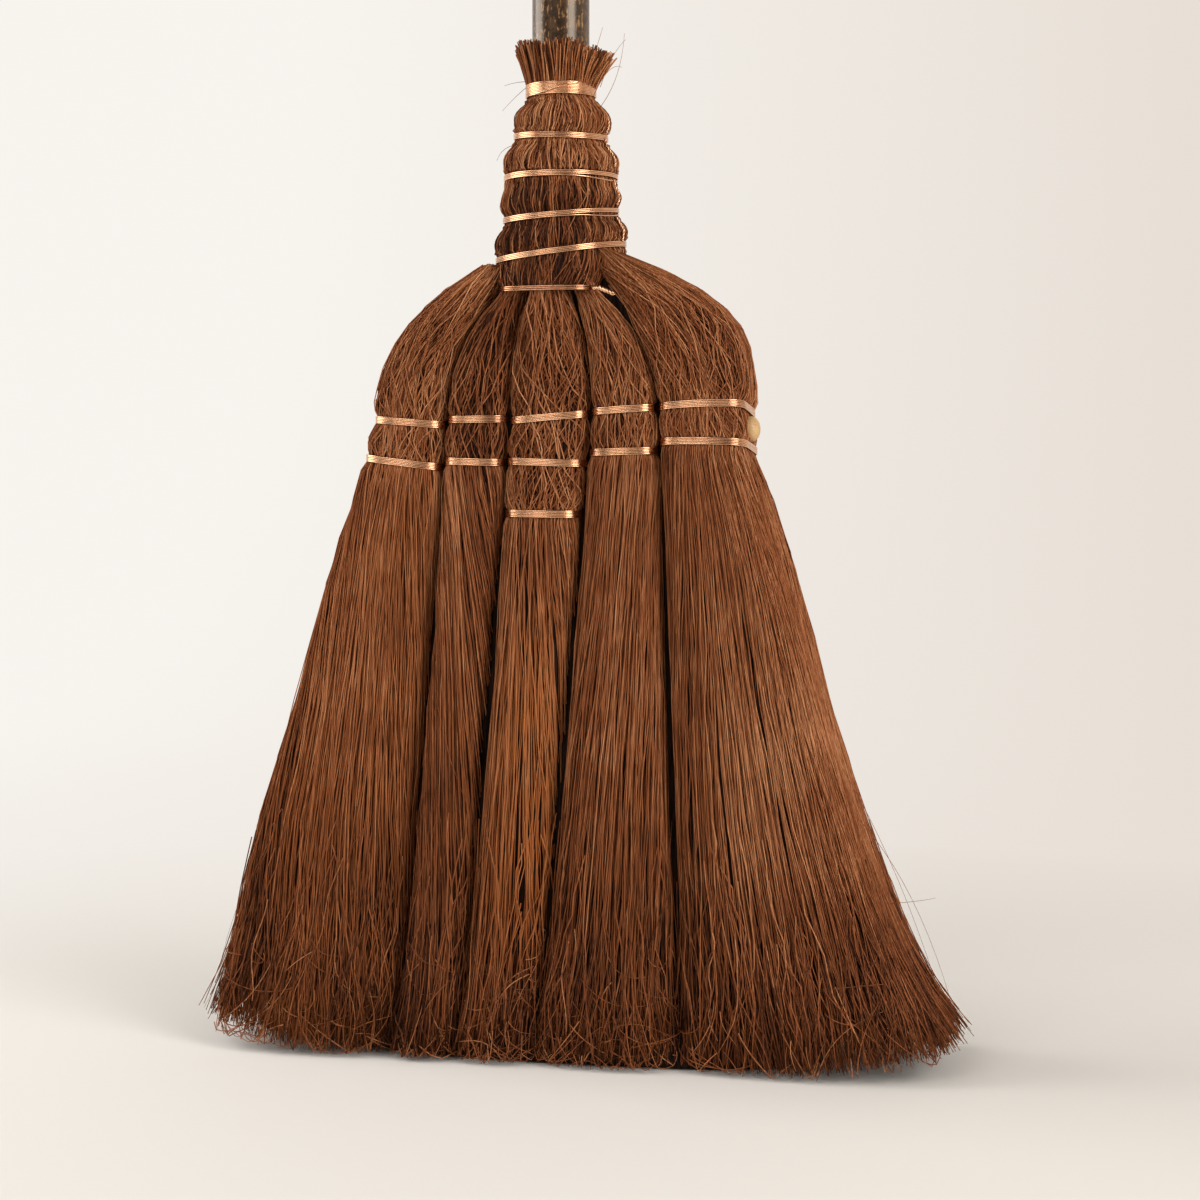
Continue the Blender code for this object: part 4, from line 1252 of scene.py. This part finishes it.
@dataclass(frozen=True)
class Neck:
    """The fibre laid along the cane, bulging between its windings.

    Floors are the half widths at the windings, bulges those between them, and swell shares
    the knots of a swelling. Root holds the lowest knots, inside the shoulders. Halves are
    half a winding's height, clearances how far a swelling stays below the next winding, and
    right shifts how far it stands to the right, for a narrow and for the wide winding. A
    furrow is its angle from the front, its width, its height and how tall it is. Strands
    are counted below and above the third winding.
    """

    bands: tuple[Band, ...] = (
        Band(0.3072, 0.115, 0.06, 4), Band(0.3211, 0.065, 0.06, 4), Band(0.3354, 0.0, 0.0, 4),
        Band(0.3508, -0.037, 0.04, 4), Band(0.3683, 0.0, 0.0, 9))
    labels: tuple[str, ...] = ("first", "second", "third", "fourth", "top")
    floors: tuple[float, ...] = (0.0243, 0.0215, 0.0211, 0.01735, 0.01275)
    bulges: tuple[float, ...] = (0.0250, 0.0233, 0.0217, 0.0184)
    root: tuple[tuple[float, ...], ...] = (
        (-0.0205, 0.0178, 0.0236, 3.6, 0.2917, 0.0, 0.0, 1.0, 0.0),
        (-0.0208, 0.0182, 0.0238, 3.4, 0.2934, 0.0, 0.0, 1.0, 0.0),
        (-0.0222, 0.0205, 0.0243, 2.9, 0.2962, 0.02, 0.01, 0.0, 0.0),
        (-0.0238, 0.0234, 0.0248, 2.3, 0.3005, 0.06, 0.03, 0.0, 0.0))
    swell_shares: tuple[float, ...] = (0.06, 0.18, 0.32, 0.48, 0.64, 0.80, 0.94)
    halves: Pair = (0.0016, 0.0031)
    clearances: Pair = (0.0029, 0.0044)
    right_shifts: Pair = (0.0, 0.0006)
    edge: float = 0.0008
    skew: float = 0.56
    furrows: tuple[tuple[float, float, float, float], ...] = (
        (-0.18, 0.025, 0.328, 0.0065), (0.24, 0.030, 0.305, 0.013))
    wire_radius: float = 0.00028
    radius: float = 0.021
    lump_length: float = 0.005
    strands: tuple[int, int] = (1162, 1400)
    seed: int = 71

    def course(self) -> Course:
        """Gives the neck as a course: a dip at each winding, and a swelling above it.

        A swelling's half width is mix(floor, bulge, sin(pi * share^skew)), where the floor
        goes from the winding below to the one above.
        """
        rows = list(self.root)
        for index, (band, floor) in enumerate(zip(self.bands, self.floors)):
            half = self.halves[band.turns > 5]
            above = self.bands[index + 1:index + 2]
            steps = ((-half - self.edge, self.edge, 0.0), (-half, 0.0001, 1.0),
                     (half, 0.0001, 1.0), (half + self.edge, self.edge, 0.0))
            for step, grow, pinch in steps if above else steps[:3]:
                grown = floor + grow
                rows.append((-grown, grown, grown, 2.0, band.height + step, band.lean, band.tip,
                             pinch, 0.0))
            for after in above:
                wide = after.turns > 5
                low, high = band.height + half + 0.0013, after.height - self.clearances[wide]
                shift = self.right_shifts[wide]
                for share in self.swell_shares:
                    part = math.sin(math.pi * share ** self.skew)
                    size = mix(mix(floor, self.floors[index + 1], share), self.bulges[index], part)
                    rows.append((shift - size, size + shift, size, 2.0, mix(low, high, share),
                                 mix(band.lean, after.lean, share), mix(band.tip, after.tip, share),
                                 0.0, 1.0))
        return Course(*np.array(rows).T)

    def build(self, palette: Palette) -> None:
        """Builds the neck's inside, its strands and its windings."""
        course = self.course()
        rng = np.random.default_rng(self.seed)
        core = course.solid(48, -0.0012).build("neck_core", palette.shade_fill)
        stand_in(core, Slot.FIBRE, "neck_fibre")
        knots = (0.0, float(course.knot_of(self.bands[2].height)), len(course.left) - 1.0)
        for label, count, low, high in zip(("lower", "upper"), self.strands, knots, knots[1:]):
            strands = self.lay(course, rng, count, low, high)
            item = strands.build(f"neck_{label}_strands", palette.fibre)
            stand_in(item, Slot.FIBRE, "neck_fibre")
        for index, (label, band) in enumerate(zip(self.labels, self.bands)):
            grown = self.floors[index] + WIRE_GAP + self.wire_radius
            ring = Course.ring((-grown, grown, grown, 2.0), band)
            wide = band.turns > 5
            winding = Winding(f"neck_{label}_winding", ring, band.turns, self.wire_radius,
                              seed=self.seed + index,
                              loose_turn=0.0011 if index in (1, 2) else 0.0,
                              crossing=wide, pitch=1.9 if wide else 2.02)
            winding.build(palette, f"neck_{label}_wire")

    def lay(self, course: Course, rng: Random, count: int, low: float, high: float) -> Surface:
        """Lays half of the neck's strands, each with its own lean and waves.

        Args:
            course: The neck's course.
            rng: The source of chance.
            count: How many strands.
            low: The knot at which they start, under a winding or the shoulders.
            high: The knot at which they end.

        Returns:
            The strands.
        """
        bottom = low + rng.uniform(0.0, 0.8, count)[:, None]
        top = high - rng.uniform(0.0, 0.3, count)[:, None]
        steps = int(round(high - low)) + 1
        run = course.at(mix(bottom, top, np.linspace(0.0, 1.0, steps)[None]))
        start = rng.uniform(-np.pi, np.pi, count)[:, None]
        lean = np.where(rng.random(count) < 0.45, rng.normal(0.0, 0.30, count),
                        rng.normal(0.0, 0.050, count))[:, None]
        phase = rng.uniform(0.0, 2 * np.pi, (3, count, 1))
        slide = lean * (0.335 - run.height) + 0.0008 * np.sin(run.height / 0.006 + phase[0])
        angle = start + slide / self.radius
        depth = rng.uniform(0.0, 0.0018, count)[:, None]
        furrow = np.zeros_like(angle)
        for turn, width, height, tall in self.furrows:
            side = bell(wrapped(angle - FRONT - turn), width)
            furrow = furrow - 0.0012 * side * bell(run.height - height, tall)
        lump = np.sin(start * 8.0 + run.height / self.lump_length)
        lift = 0.00025 * np.sin(run.height / 0.004 + phase[1]) + 0.0005 * lump
        lift = lift * (1.0 - run.pinch) - depth * (1.0 - 0.6 * run.pinch)
        points = run.place(angle, lift - 0.0002 * run.pinch + furrow)
        radii = rng.uniform(0.00030, 0.00048, count)[:, None] / 2
        # Painted shade in the furrows and on the deeper strands, painted light on the lumps that
        # stand out; the neck is also darker towards its foot.
        tone = scatter(rng, count, 0.57, 0.25, 0.02, 1.1) + 40.0 * furrow + 0.08 * lump
        tone = tone - 0.22 * held((0.336 - run.height) / 0.016)
        tone = tone - 0.60 * held((depth - 0.0004) / 0.0005)
        return hairs(points, radii, tone, 0.04)

    def tails(self) -> list["TwistedEnd"]:
        """Gives the twisted pairs down the neck's right side.

        Each runs just outside the fibre from above one winding to below the next, or ends
        above its own.
        """
        course = self.course()
        count = len(course.left)
        line = course.place(np.full(count, math.radians(-9.0)), 0.00085 * np.ones(count))
        tails = []
        for node, low, over, high, past, points in (
                ("lower_neck_twist", 0, 0.0035, 1, -0.0012, 5),
                ("middle_neck_twist", 1, 0.0035, 2, -0.0012, 5),
                ("upper_neck_twist", 2, 0.0035, 3, -0.0012, 5),
                ("neck_twist_end", 3, 0.0012, 3, 0.0062, 3)):
            heights = np.linspace(self.bands[low].height + over, self.bands[high].height + past,
                                  points)
            path = [tuple(float(np.interp(z, line[:, 2], line[:, axis])) for axis in range(3))
                    for z in heights]
            tails.append(TwistedEnd(node, tuple(path)))
        return tails


@dataclass(frozen=True)
class Collar:
    """The flared crown of cut ends over the top winding."""

    foot: float = 0.3662
    top: float = 0.3862
    inner: float = 0.0116
    outer: float = 0.0128
    flare: Pair = (0.0172, 0.0205)
    core: tuple[Pair, ...] = (
        (0.0114, 0.3662), (0.0123, 0.3662), (0.0128, 0.3745), (0.0142, 0.3790), (0.0119, 0.3800))
    count: int = 1250
    seed: int = 91

    def build(self, palette: Palette) -> None:
        """Builds the crown: straight strands that lean out, more so on the right.

        A strand's radius is mix(low, high, share^1.5), and its top is clipped unevenly.
        """
        rng = np.random.default_rng(self.seed)
        count = self.count
        angle = rng.uniform(-np.pi, np.pi, count)[:, None]
        place = np.sqrt(rng.random(count))[:, None]
        right = held(np.cos(angle)) ** 2
        share = np.linspace(0.0, 1.0, 6)[None]
        low = mix(self.inner, self.outer - 0.0002, place)
        high = mix(self.inner + 0.0004, mix(*self.flare, right), place ** 1.3)
        high = high + rng.normal(0.0, 0.0006, (count, 1))
        radius = mix(low, high, share ** 1.5)
        radius = radius + 0.0003 * np.sin(share * 5.0 + angle * 31.0) * share
        radius = np.maximum(radius, self.inner)
        twist = rng.normal(0.0, 0.10, (count, 1)) * share
        tuft = np.sin(angle * 14.0)
        clipped = self.top - 0.0045 * right * place - np.abs(rng.normal(0.0, 0.0016, (count, 1)))
        clipped = clipped + 0.0010 * np.sin(angle * 5.0 + 1.0)
        angle = angle + twist + 0.05 * tuft * share
        points = np.stack([radius * np.cos(angle), radius * np.sin(angle),
                           mix(self.foot, clipped, share)], -1)
        radii = rng.uniform(0.00036, 0.00060, count)[:, None] / 2
        tone = scatter(rng, count, 0.62, 0.30, 0.02, 1.0) + 0.16 * tuft
        # Painted shade: the strands inside the crown are darker.
        tone = tone - 0.80 * held((0.93 - place) / 0.10)
        item = hairs(points, radii, tone, 0.10).build("collar_strands", palette.fibre)
        stand_in(item, Slot.ENDS, "collar_fibre")
        core = turned(np.array(self.core), 40).build("collar_core", palette.shade_fill)
        stand_in(core, Slot.ENDS, "collar_fibre")


@dataclass(frozen=True)
class ShoulderWinding:
    """The winding round the three inner bundles, just outside the fibre's dip."""

    left: float = -0.0205
    right: float = 0.0178
    half_depth: float = 0.0240
    fullness: float = 3.6
    gap: float = 0.0002
    wire_radius: float = 0.00032
    band: Band = Band(0.2923, turns=3)
    seed: int = 33

    def build(self, palette: Palette) -> None:
        """Builds the winding in a darker copy of the copper, as painted shade."""
        grown = self.gap + self.wire_radius
        sizes = (self.left - grown, self.right + grown, self.half_depth + grown, self.fullness)
        winding = Winding("shoulder_winding", Course.ring(sizes, self.band), self.band.turns,
                          self.wire_radius, self.seed)
        winding.build(replace(palette, copper=palette.shaded_copper), "shoulder_wire")


@dataclass(frozen=True)
class TwistedEnd:
    """Two wires twisted together along a path, as a double helix."""

    node: str
    path: tuple[Point, ...]
    wire_radius: float = 0.00026
    turn: float = 0.0030

    def build(self, palette: Palette) -> None:
        """Builds the pair: offset by +-radius * (cos, sin) of the distance along the path."""
        knots = np.array(self.path)
        lengths = np.concatenate([[0.0], np.cumsum(np.linalg.norm(np.diff(knots, axis=0), axis=1))])
        count = max(14, int(lengths[-1] / self.turn * 12))
        distance = np.linspace(0.0, lengths[-1], count)
        middle = np.stack([np.interp(distance, lengths, knots[:, axis]) for axis in range(3)], -1)
        along = unit(np.gradient(middle, axis=0))
        side = unit(np.cross(along, BACKWARD))
        other = np.cross(along, side)
        angle = 2 * np.pi * distance[:, None] / self.turn
        pair = []
        for half in (0.0, np.pi):
            offset = side * np.cos(angle + half) + other * np.sin(angle + half)
            pair.append(middle + 1.02 * self.wire_radius * offset)
        item = wires(np.stack(pair), self.wire_radius, BACKWARD)
        stand_in(item.build(self.node + "_pair", palette.copper), Slot.COPPER, self.node)


SHOULDER_TAIL = TwistedEnd("shoulder_twist_end", (
    (0.0170, -0.0190, 0.2923), (0.0200, -0.0222, 0.2922), (0.0262, -0.0236, 0.2896)), 0.00048)


# ---- Bamboo ----

@dataclass(frozen=True)
class Cane:
    """The handle: a cane that narrows upwards, with a sheath ridge at each joint.

    Ridge holds heights about a joint and how far the cane stands out there. The two edges
    hold steps in radius and height from the cane's ends.
    """

    foot: float = 0.284
    top: float = 1.300
    radius: float = 0.011
    top_radius: float = 0.01025
    even_to: float = 0.300
    below_top: float = 0.014
    spacing: float = 0.175
    shortening: float = 0.94
    lowest: float = 0.446
    sides: int = 72
    plain: tuple[float, ...] = (0.300, 0.340, 0.390, 0.420)
    ridge: tuple[Pair, ...] = (
        (-0.0060, 0.0), (-0.0030, 0.00008), (-0.0018, 0.00022), (-0.0011, 0.00050),
        (-0.0007, 0.00070), (-0.0003, 0.00045), (0.0001, 0.00004), (0.0005, 0.00030),
        (0.0010, 0.00080), (0.0016, 0.00090), (0.0024, 0.00065), (0.0036, 0.00025), (0.0055, 0.0))
    foot_edge: tuple[Pair, ...] = (
        (-0.0010, 0.0), (-0.0003, 0.0003), (0.0, 0.0010))
    top_edge: tuple[Pair, ...] = (
        (0.0, -0.0012), (-0.0003, -0.0004), (-0.0010, 0.0), (-0.0030, 0.0))

    def thickness(self, height: Array) -> Array:
        """Gives the radius: even up to the neck's base, then straight to the top."""
        share = held((height - self.even_to) / (self.top - self.even_to))
        return mix(self.radius, self.top_radius, share)

    def joints(self) -> list[float]:
        """Gives the joints' heights from the top down, each internode shorter."""
        heights, height, gap = [], self.top - self.below_top, self.spacing
        while height > self.lowest:
            heights.append(height)
            height -= gap
            gap *= self.shortening
        return heights

    def build(self, palette: Palette) -> None:
        """Builds the cane in place of the CAD one."""
        joints = np.array(self.joints()[::-1])[:, None]
        steps, rises = np.array(self.ridge).T
        height = np.concatenate([self.plain, (joints + steps).ravel()])
        lift = np.concatenate([np.zeros(len(self.plain)), np.tile(rises, len(joints))])
        profile = [(self.radius + out, self.foot + up) for out, up in self.foot_edge]
        profile += zip(self.thickness(height) + lift, height)
        profile += [(self.top_radius + out, self.top + up) for out, up in self.top_edge]
        item = turned(np.array(profile), self.sides).build("cane", palette.cane)
        stand_in(item, Slot.CANE, "handle")


@dataclass(frozen=True)
class Skewer:
    """The bamboo skewer through all five bundles, with a domed end on the right."""

    left: Point = (-0.0740, 0.0, 0.2347)
    right: Point = (0.0776, 0.0, 0.2397)
    radius: float = 0.0048
    chamfer: float = 0.0008
    dome_rise: float = 0.0036

    def build(self, palette: Palette) -> None:
        """Builds the skewer in place of the CAD one: its dome is (1 - share^2.2)^0.5."""
        start, end = Vector(self.left), Vector(self.right)
        along = end - start
        length = along.length
        turn = along.to_track_quat("Z", "Y").to_matrix().to_4x4()
        share = np.linspace(0.0, 1.0, 9)
        dome = np.stack([self.radius * (1.0 - share ** 2.2) ** 0.5,
                         length - self.dome_rise + self.dome_rise * share], -1)
        dome[-1, 0] = 0.0004
        rod = np.array([(self.radius - self.chamfer, 0.0), (self.radius, self.chamfer),
                        (self.radius, length * 0.5), (self.radius, length - 0.005)])
        place = Matrix.Translation(start) @ turn
        item = turned(np.concatenate([rod, dome]), 40, place).build("skewer_rod", palette.pale)
        stand_in(item, Slot.PALE, "skewer")


# ---- Stray hairs ----

@dataclass(frozen=True)
class StrayHairs:
    """Fine hairs that stand out of the collar, the neck and the head's lower corners.

    Each runs along (1 - s)^2 * start + 2 * s * (1 - s) * bend + s^2 * end.
    """

    radius: float = 0.00011
    tone: float = 0.40
    hairs: tuple[tuple[Point, Point, Point], ...] = (
        ((0.0150, -0.004, 0.3600), (0.0250, -0.006, 0.3700), (0.0262, -0.006, 0.3885)),
        ((0.0135, -0.003, 0.3660), (0.0200, -0.004, 0.3790), (0.0250, -0.005, 0.3760)),
        ((0.0150, 0.002, 0.3700), (0.0190, 0.003, 0.3830), (0.0245, 0.004, 0.3880)),
        ((0.0120, -0.007, 0.3720), (0.0170, -0.010, 0.3850), (0.0188, -0.010, 0.3905)),
        ((-0.0125, -0.004, 0.3700), (-0.0170, -0.006, 0.3660), (-0.0213, -0.007, 0.3608)),
        ((-0.0120, -0.005, 0.3720), (-0.0165, -0.008, 0.3715), (-0.0200, -0.009, 0.3700)),
        ((-0.0165, -0.006, 0.3480), (-0.0215, -0.008, 0.3470), (-0.0232, -0.008, 0.3420)),
        ((0.0990, -0.010, 0.1300), (0.1290, -0.012, 0.0900), (0.1490, -0.010, 0.0240)),
        ((0.1030, -0.016, 0.1120), (0.1280, -0.020, 0.0800), (0.1350, -0.020, 0.0450)),
        ((0.1080, -0.008, 0.1020), (0.1390, -0.010, 0.0760), (0.1540, -0.008, 0.0170)),
        ((0.1200, -0.012, 0.0620), (0.1390, -0.014, 0.0640), (0.1460, -0.014, 0.0660)),
        ((-0.1180, -0.012, 0.0700), (-0.1300, -0.014, 0.0330), (-0.1440, -0.012, 0.0100)),
        ((-0.1120, -0.008, 0.0900), (-0.1290, -0.010, 0.0600), (-0.1370, -0.010, 0.0300)),
    )

    def build(self, palette: Palette) -> None:
        """Builds the hairs as one piece."""
        ends = np.array(self.hairs)
        share = np.linspace(0.0, 1.0, 14)[None, :, None]
        points = ((1 - share) ** 2 * ends[:, 0, None] + 2 * share * (1 - share) * ends[:, 1, None]
                  + share ** 2 * ends[:, 2, None])
        radii = self.radius * (1.0 - 0.5 * share[..., 0])
        item = hairs(points, radii, self.tone, 0.0, sides=4).build("stray_hairs", palette.fibre)
        stand_in(item, Slot.FIBRE)


# ---- Studio ----

def facing(place: Vector, aim: Vector) -> Matrix:
    """Gives where a camera or a lamp stands that looks along an aim."""
    return Matrix.Translation(place) @ aim.to_track_quat("-Z", "Y").to_matrix().to_4x4()


@dataclass(frozen=True)
class Lamp:
    """A soft lamp that faces the head: where it stands in degrees and metres, size and watts."""

    name: str
    azimuth: float
    reach: float
    height: float
    width: float
    tall: float
    power: float
    glossy: bool = True

    def build(self) -> None:
        """Places and aims the lamp. Metal and gloss show it only if it is glossy."""
        angle = math.radians(self.azimuth)
        place = Vector((self.reach * math.sin(angle), -self.reach * math.cos(angle), self.height))
        data = bpy.data.lights.new(self.name, "AREA")
        data.shape, data.energy = "RECTANGLE", self.power
        data.size, data.size_y = self.width, self.tall
        lamp = bpy.data.objects.new(self.name, data)
        lamp.visible_glossy = self.glossy
        lamp.matrix_world = facing(place, Vector((0.0, 0.0, 0.2)) - place)
        bpy.context.scene.collection.objects.link(lamp)


@dataclass(frozen=True)
class Studio:
    """The floor, the lamps and the camera at the photograph's angle."""

    azimuth: float = math.radians(14.0)
    distance: float = 0.95
    eye_height: float = 0.224
    pitch: float = math.radians(3.02)
    yaw: float = math.radians(0.9)
    lens: float = 73.83
    half_width: float = 7.0
    wall: float = 1.8
    bend: float = 0.8
    wall_top: float = 3.2
    lamps: tuple[Lamp, ...] = (
        Lamp("left_lamp", -86.0, 1.35, 0.85, 1.10, 1.4, 19.5),
        Lamp("right_lamp", 58.0, 1.45, 0.80, 0.80, 1.4, 18.5),
        Lamp("front_lamp", -20.0, 1.9, 1.5, 1.3, 0.9, 12.6),
        Lamp("front_fill", -20.0, 1.9, 1.5, 1.3, 0.9, 5.4, glossy=False))
    far_wall: Colour = (0.80, 0.75, 0.70)

    def build(self) -> None:
        """Builds the studio: two tall soft lamps at the sides and two in one place in front."""
        self.place_camera()
        self.lay_floor()
        for lamp in self.lamps:
            lamp.build()
        self.air()

    def place_camera(self) -> None:
        """Aims the camera a little down and to the right of the cane's axis."""
        sine, cosine = math.sin(self.azimuth), math.cos(self.azimuth)
        eye = Vector((self.distance * sine, -self.distance * cosine, self.eye_height))
        forward, right = Vector((-sine, cosine, 0.0)), Vector((cosine, sine, 0.0))
        aim = forward * math.cos(self.pitch) + Vector((0.0, 0.0, -math.sin(self.pitch)))
        aim += right * math.tan(self.yaw)
        data = bpy.data.cameras.new("camera")
        data.lens, data.sensor_width, data.clip_start = self.lens, 36.0, 0.01
        camera = bpy.data.objects.new("camera", data)
        camera.matrix_world = facing(eye, aim)
        bpy.context.scene.collection.objects.link(camera)
        bpy.context.scene.camera = camera

    def lay_floor(self) -> None:
        """Lays one pale sheet: the floor, a round bend and the wall."""
        bend = np.linspace(0.0, np.pi / 2, 13)
        start = self.wall - self.bend
        depth = np.concatenate([[-self.half_width], start + self.bend * np.sin(bend), [self.wall]])
        rise = np.concatenate([[0.0], self.bend * (1.0 - np.cos(bend)), [self.wall_top]])
        across = np.array((-self.half_width, self.half_width))
        grid = np.stack([across[None] * np.ones((len(depth), 1)), depth[:, None] * np.ones(2),
                         rise[:, None] * np.ones(2)], -1)
        index = np.arange(len(depth) * 2).reshape(-1, 2)
        faces = np.stack([index[:-1, 0], index[:-1, 1], index[1:, 1], index[1:, 0]], -1)
        floor = Surface(grid.reshape(-1, 3), [faces]).build("studio_floor", self.paper())

    def paper(self) -> Material:
        """Builds the sheet's finish, warmer to the right and clear from behind.

        To the camera, and in gloss, it glows evenly away from the broom's foot, and near
        the foot it takes the light and the shadow.

        Returns:
            The material.
        """
        material = bpy.data.materials.new("studio_paper")
        material.use_nodes = True
        nodes = material.node_tree.nodes
        graph = Graph(material.node_tree)
        place = graph.object_place()
        across = graph.node("ShaderNodeSeparateXYZ", {0: place}).outputs["X"]
        away = graph.vector("LENGTH", 1, graph.vector("ADD", 0, place, (0.0, 0.10, 0.0)))
        lit, shader = nodes["Principled BSDF"], "ShaderNodeMixShader"
        graph.feed(lit, {
            "Base Color": graph.blend(graph.spread(across, 0.0, 1.0, -0.9, 0.5),
                                      (0.80, 0.775, 0.735), (0.745, 0.695, 0.630)),
            "Roughness": 0.9, "Specular IOR Level": 0.1})
        near = graph.blend(graph.spread(across, 0.0, 1.0, -0.75, 0.55),
                           (0.935, 0.905, 0.860), (0.765, 0.690, 0.620))
        tint = graph.blend(graph.spread(away, 0.0, 1.0, 2.3, 4.5), near, self.far_wall)
        glow = graph.node("ShaderNodeEmission", {"Color": tint})
        ray = graph.node("ShaderNodeLightPath").outputs
        seen = graph.math("MAXIMUM", ray["Is Camera Ray"], ray["Is Glossy Ray"])
        seen = graph.math("MAXIMUM", seen, ray["Is Transmission Ray"])
        share = graph.math("MULTIPLY", seen, graph.spread(away, 0.0, 1.0, 0.20, 0.66))
        front = graph.node(shader, {0: share, 1: lit.outputs[0], 2: glow.outputs[0]})
        behind = graph.node("ShaderNodeNewGeometry").outputs["Backfacing"]
        clear = graph.node("ShaderNodeBsdfTransparent").outputs[0]
        sheet = graph.node(shader, {0: behind, 1: front.outputs[0], 2: clear})
        graph.feed(nodes["Material Output"], {"Surface": sheet.outputs[0]})
        return material

    def air(self) -> None:
        """Fills the studio with an even light, brighter to the right in gloss, and pale."""
        world = bpy.data.worlds.new("studio_air")
        world.use_nodes = True
        graph = Graph(world.node_tree)
        ray = graph.node("ShaderNodeLightPath").outputs
        way = graph.node("ShaderNodeTexCoord").outputs["Generated"]
        across = graph.node("ShaderNodeSeparateXYZ", {0: way}).outputs["X"]
        sheen = graph.blend(graph.spread(across, 0.0, 1.0, 0.35, 0.95),
                            (0.18, 0.160, 0.142), (0.62, 0.55, 0.48))
        light = graph.blend(ray["Is Glossy Ray"], (0.34, 0.33, 0.316), sheen)
        seen = graph.blend(ray["Is Camera Ray"], light, self.far_wall)
        graph.feed(world.node_tree.nodes["Background"], {"Color": seen})
        bpy.context.scene.world = world
        bpy.context.scene.view_settings.view_transform = "Standard"


# ---- The broom ----

@dataclass(frozen=True)
class Packing:
    """The fibre deep inside the head, behind its seams and hollows, near-black as painted shade.

    Depths are the slab's half depths at the heights, and side gaps how far it stands in
    from the head's edges at the first two.
    """

    shape: HeadShape = HeadShape()
    heights: tuple[float, ...] = (0.0006, 0.035, 0.2, 0.262, 0.298)
    depths: tuple[float, ...] = (0.0310, 0.018, 0.0100, 0.0100, 0.013)
    side_gaps: Pair = (0.046, 0.016)
    fullness: float = 2.6

    def build(self, palette: Palette) -> None:
        """Builds one closed slab, as rings of the outline drawn in."""
        height = np.linspace(self.heights[0], self.heights[-1], 40)
        depth = np.interp(height, self.heights, self.depths)
        gap = np.interp(height, self.heights[:2], self.side_gaps)
        slab = Course(gap - self.shape.edge(height, 0), self.shape.edge(height, 1) - gap, depth,
                      np.full(40, self.fullness), height, *np.zeros((4, 40)))
        item = slab.solid(64, 0.0).build("head_packing", palette.shade_fill)
        stand_in(item, Slot.FIBRE, "centre_bundle")


def bundles() -> list[Bundle]:
    """Gives the five bundles, from left to right, with the lay of each one's strands."""
    outer = {"neck_depth": 0.0170, "shoulder_depth": 0.0180, "top_fullness": 3.2,
             "tip_fullness": 5.5}
    inner = {"neck_depth": 0.0225, "shoulder_depth": 0.0175, "top_fullness": 3.8}
    edge = Layer(330, high=(0.205, 0.2327), lean=(0.045, 0.02), depth=(-0.0006, 0.0006),
                 span=(0.34, 0.52), tone=(0.55, 0.14))
    return [
        Bundle("left_outer", (None, 0), (Band(0.2270, -0.125), Band(0.2424, -0.084)),
               lay=Lay(0.12, 1260, 0.54, 0.20, 0.035, top=0.2996, warm=0.13), seed=11,
               glow=(-0.092, 0.130, 0.012, 0.030, 0.10), flare=-0.0008, contrast=1.45, **outer),
        Bundle("left_inner", (0, 1), (Band(0.2272, -0.034), Band(0.2434, 0.0)),
               lay=Lay(0.24, 840, 0.42, 0.24, 0.040), seed=12,
               glow=(-0.040, 0.19, 0.006, 0.04, 0.22), contrast=1.3, **inner),
        Bundle("centre", (1, 2),
               (Band(0.2075, -0.017), Band(0.2270, -0.037), Band(0.2440, 0.077)),
               0.0245, 0.0240, 4.0, Lay(0.10, 880, 0.545, 0.34, 0.050, fan=0.14), seed=13,
               patch=Patch(gain=1.0), contrast=0.95),
        Bundle("right_inner", (2, 3), (Band(0.2310, 0.025), Band(0.2468, 0.057)),
               lay=Lay(-0.07, 840, 0.53, 0.22, 0.035), seed=14, contrast=0.9, curled=0.8,
               **inner),
        Bundle("right_outer", (3, None),
               (Band(0.2327, -0.015, -0.115), Band(0.2464, 0.03, -0.13)),
               lay=Lay(-0.05, 1260, 0.51, 0.20, fan=0.06, top=0.3052), seed=15,
               more_layers=(edge,), tone=-0.03, glow=(0.085, 0.098, 0.030, 0.055, 0.26),
               contrast=0.6, flare=0.0009, curled=0.5, **outer),
    ]


def main() -> None:
    """Builds and dresses the broom, piece by piece."""
    palette = Palette.mixed()
    Studio().build()
    Packing().build(palette)
    for bundle in bundles():
        bundle.build(palette)
    neck = Neck()
    neck.build(palette)
    Collar().build(palette)
    ShoulderWinding().build(palette)
    for tail in (*neck.tails(), SHOULDER_TAIL):
        tail.build(palette)
    Cane().build(palette)
    Skewer().build(palette)
    StrayHairs().build(palette)
    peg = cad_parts["handle_peg"]
    peg.data.materials.clear()
    peg.data.materials.append(palette.pale)


if __name__ == "__main__":
    main()
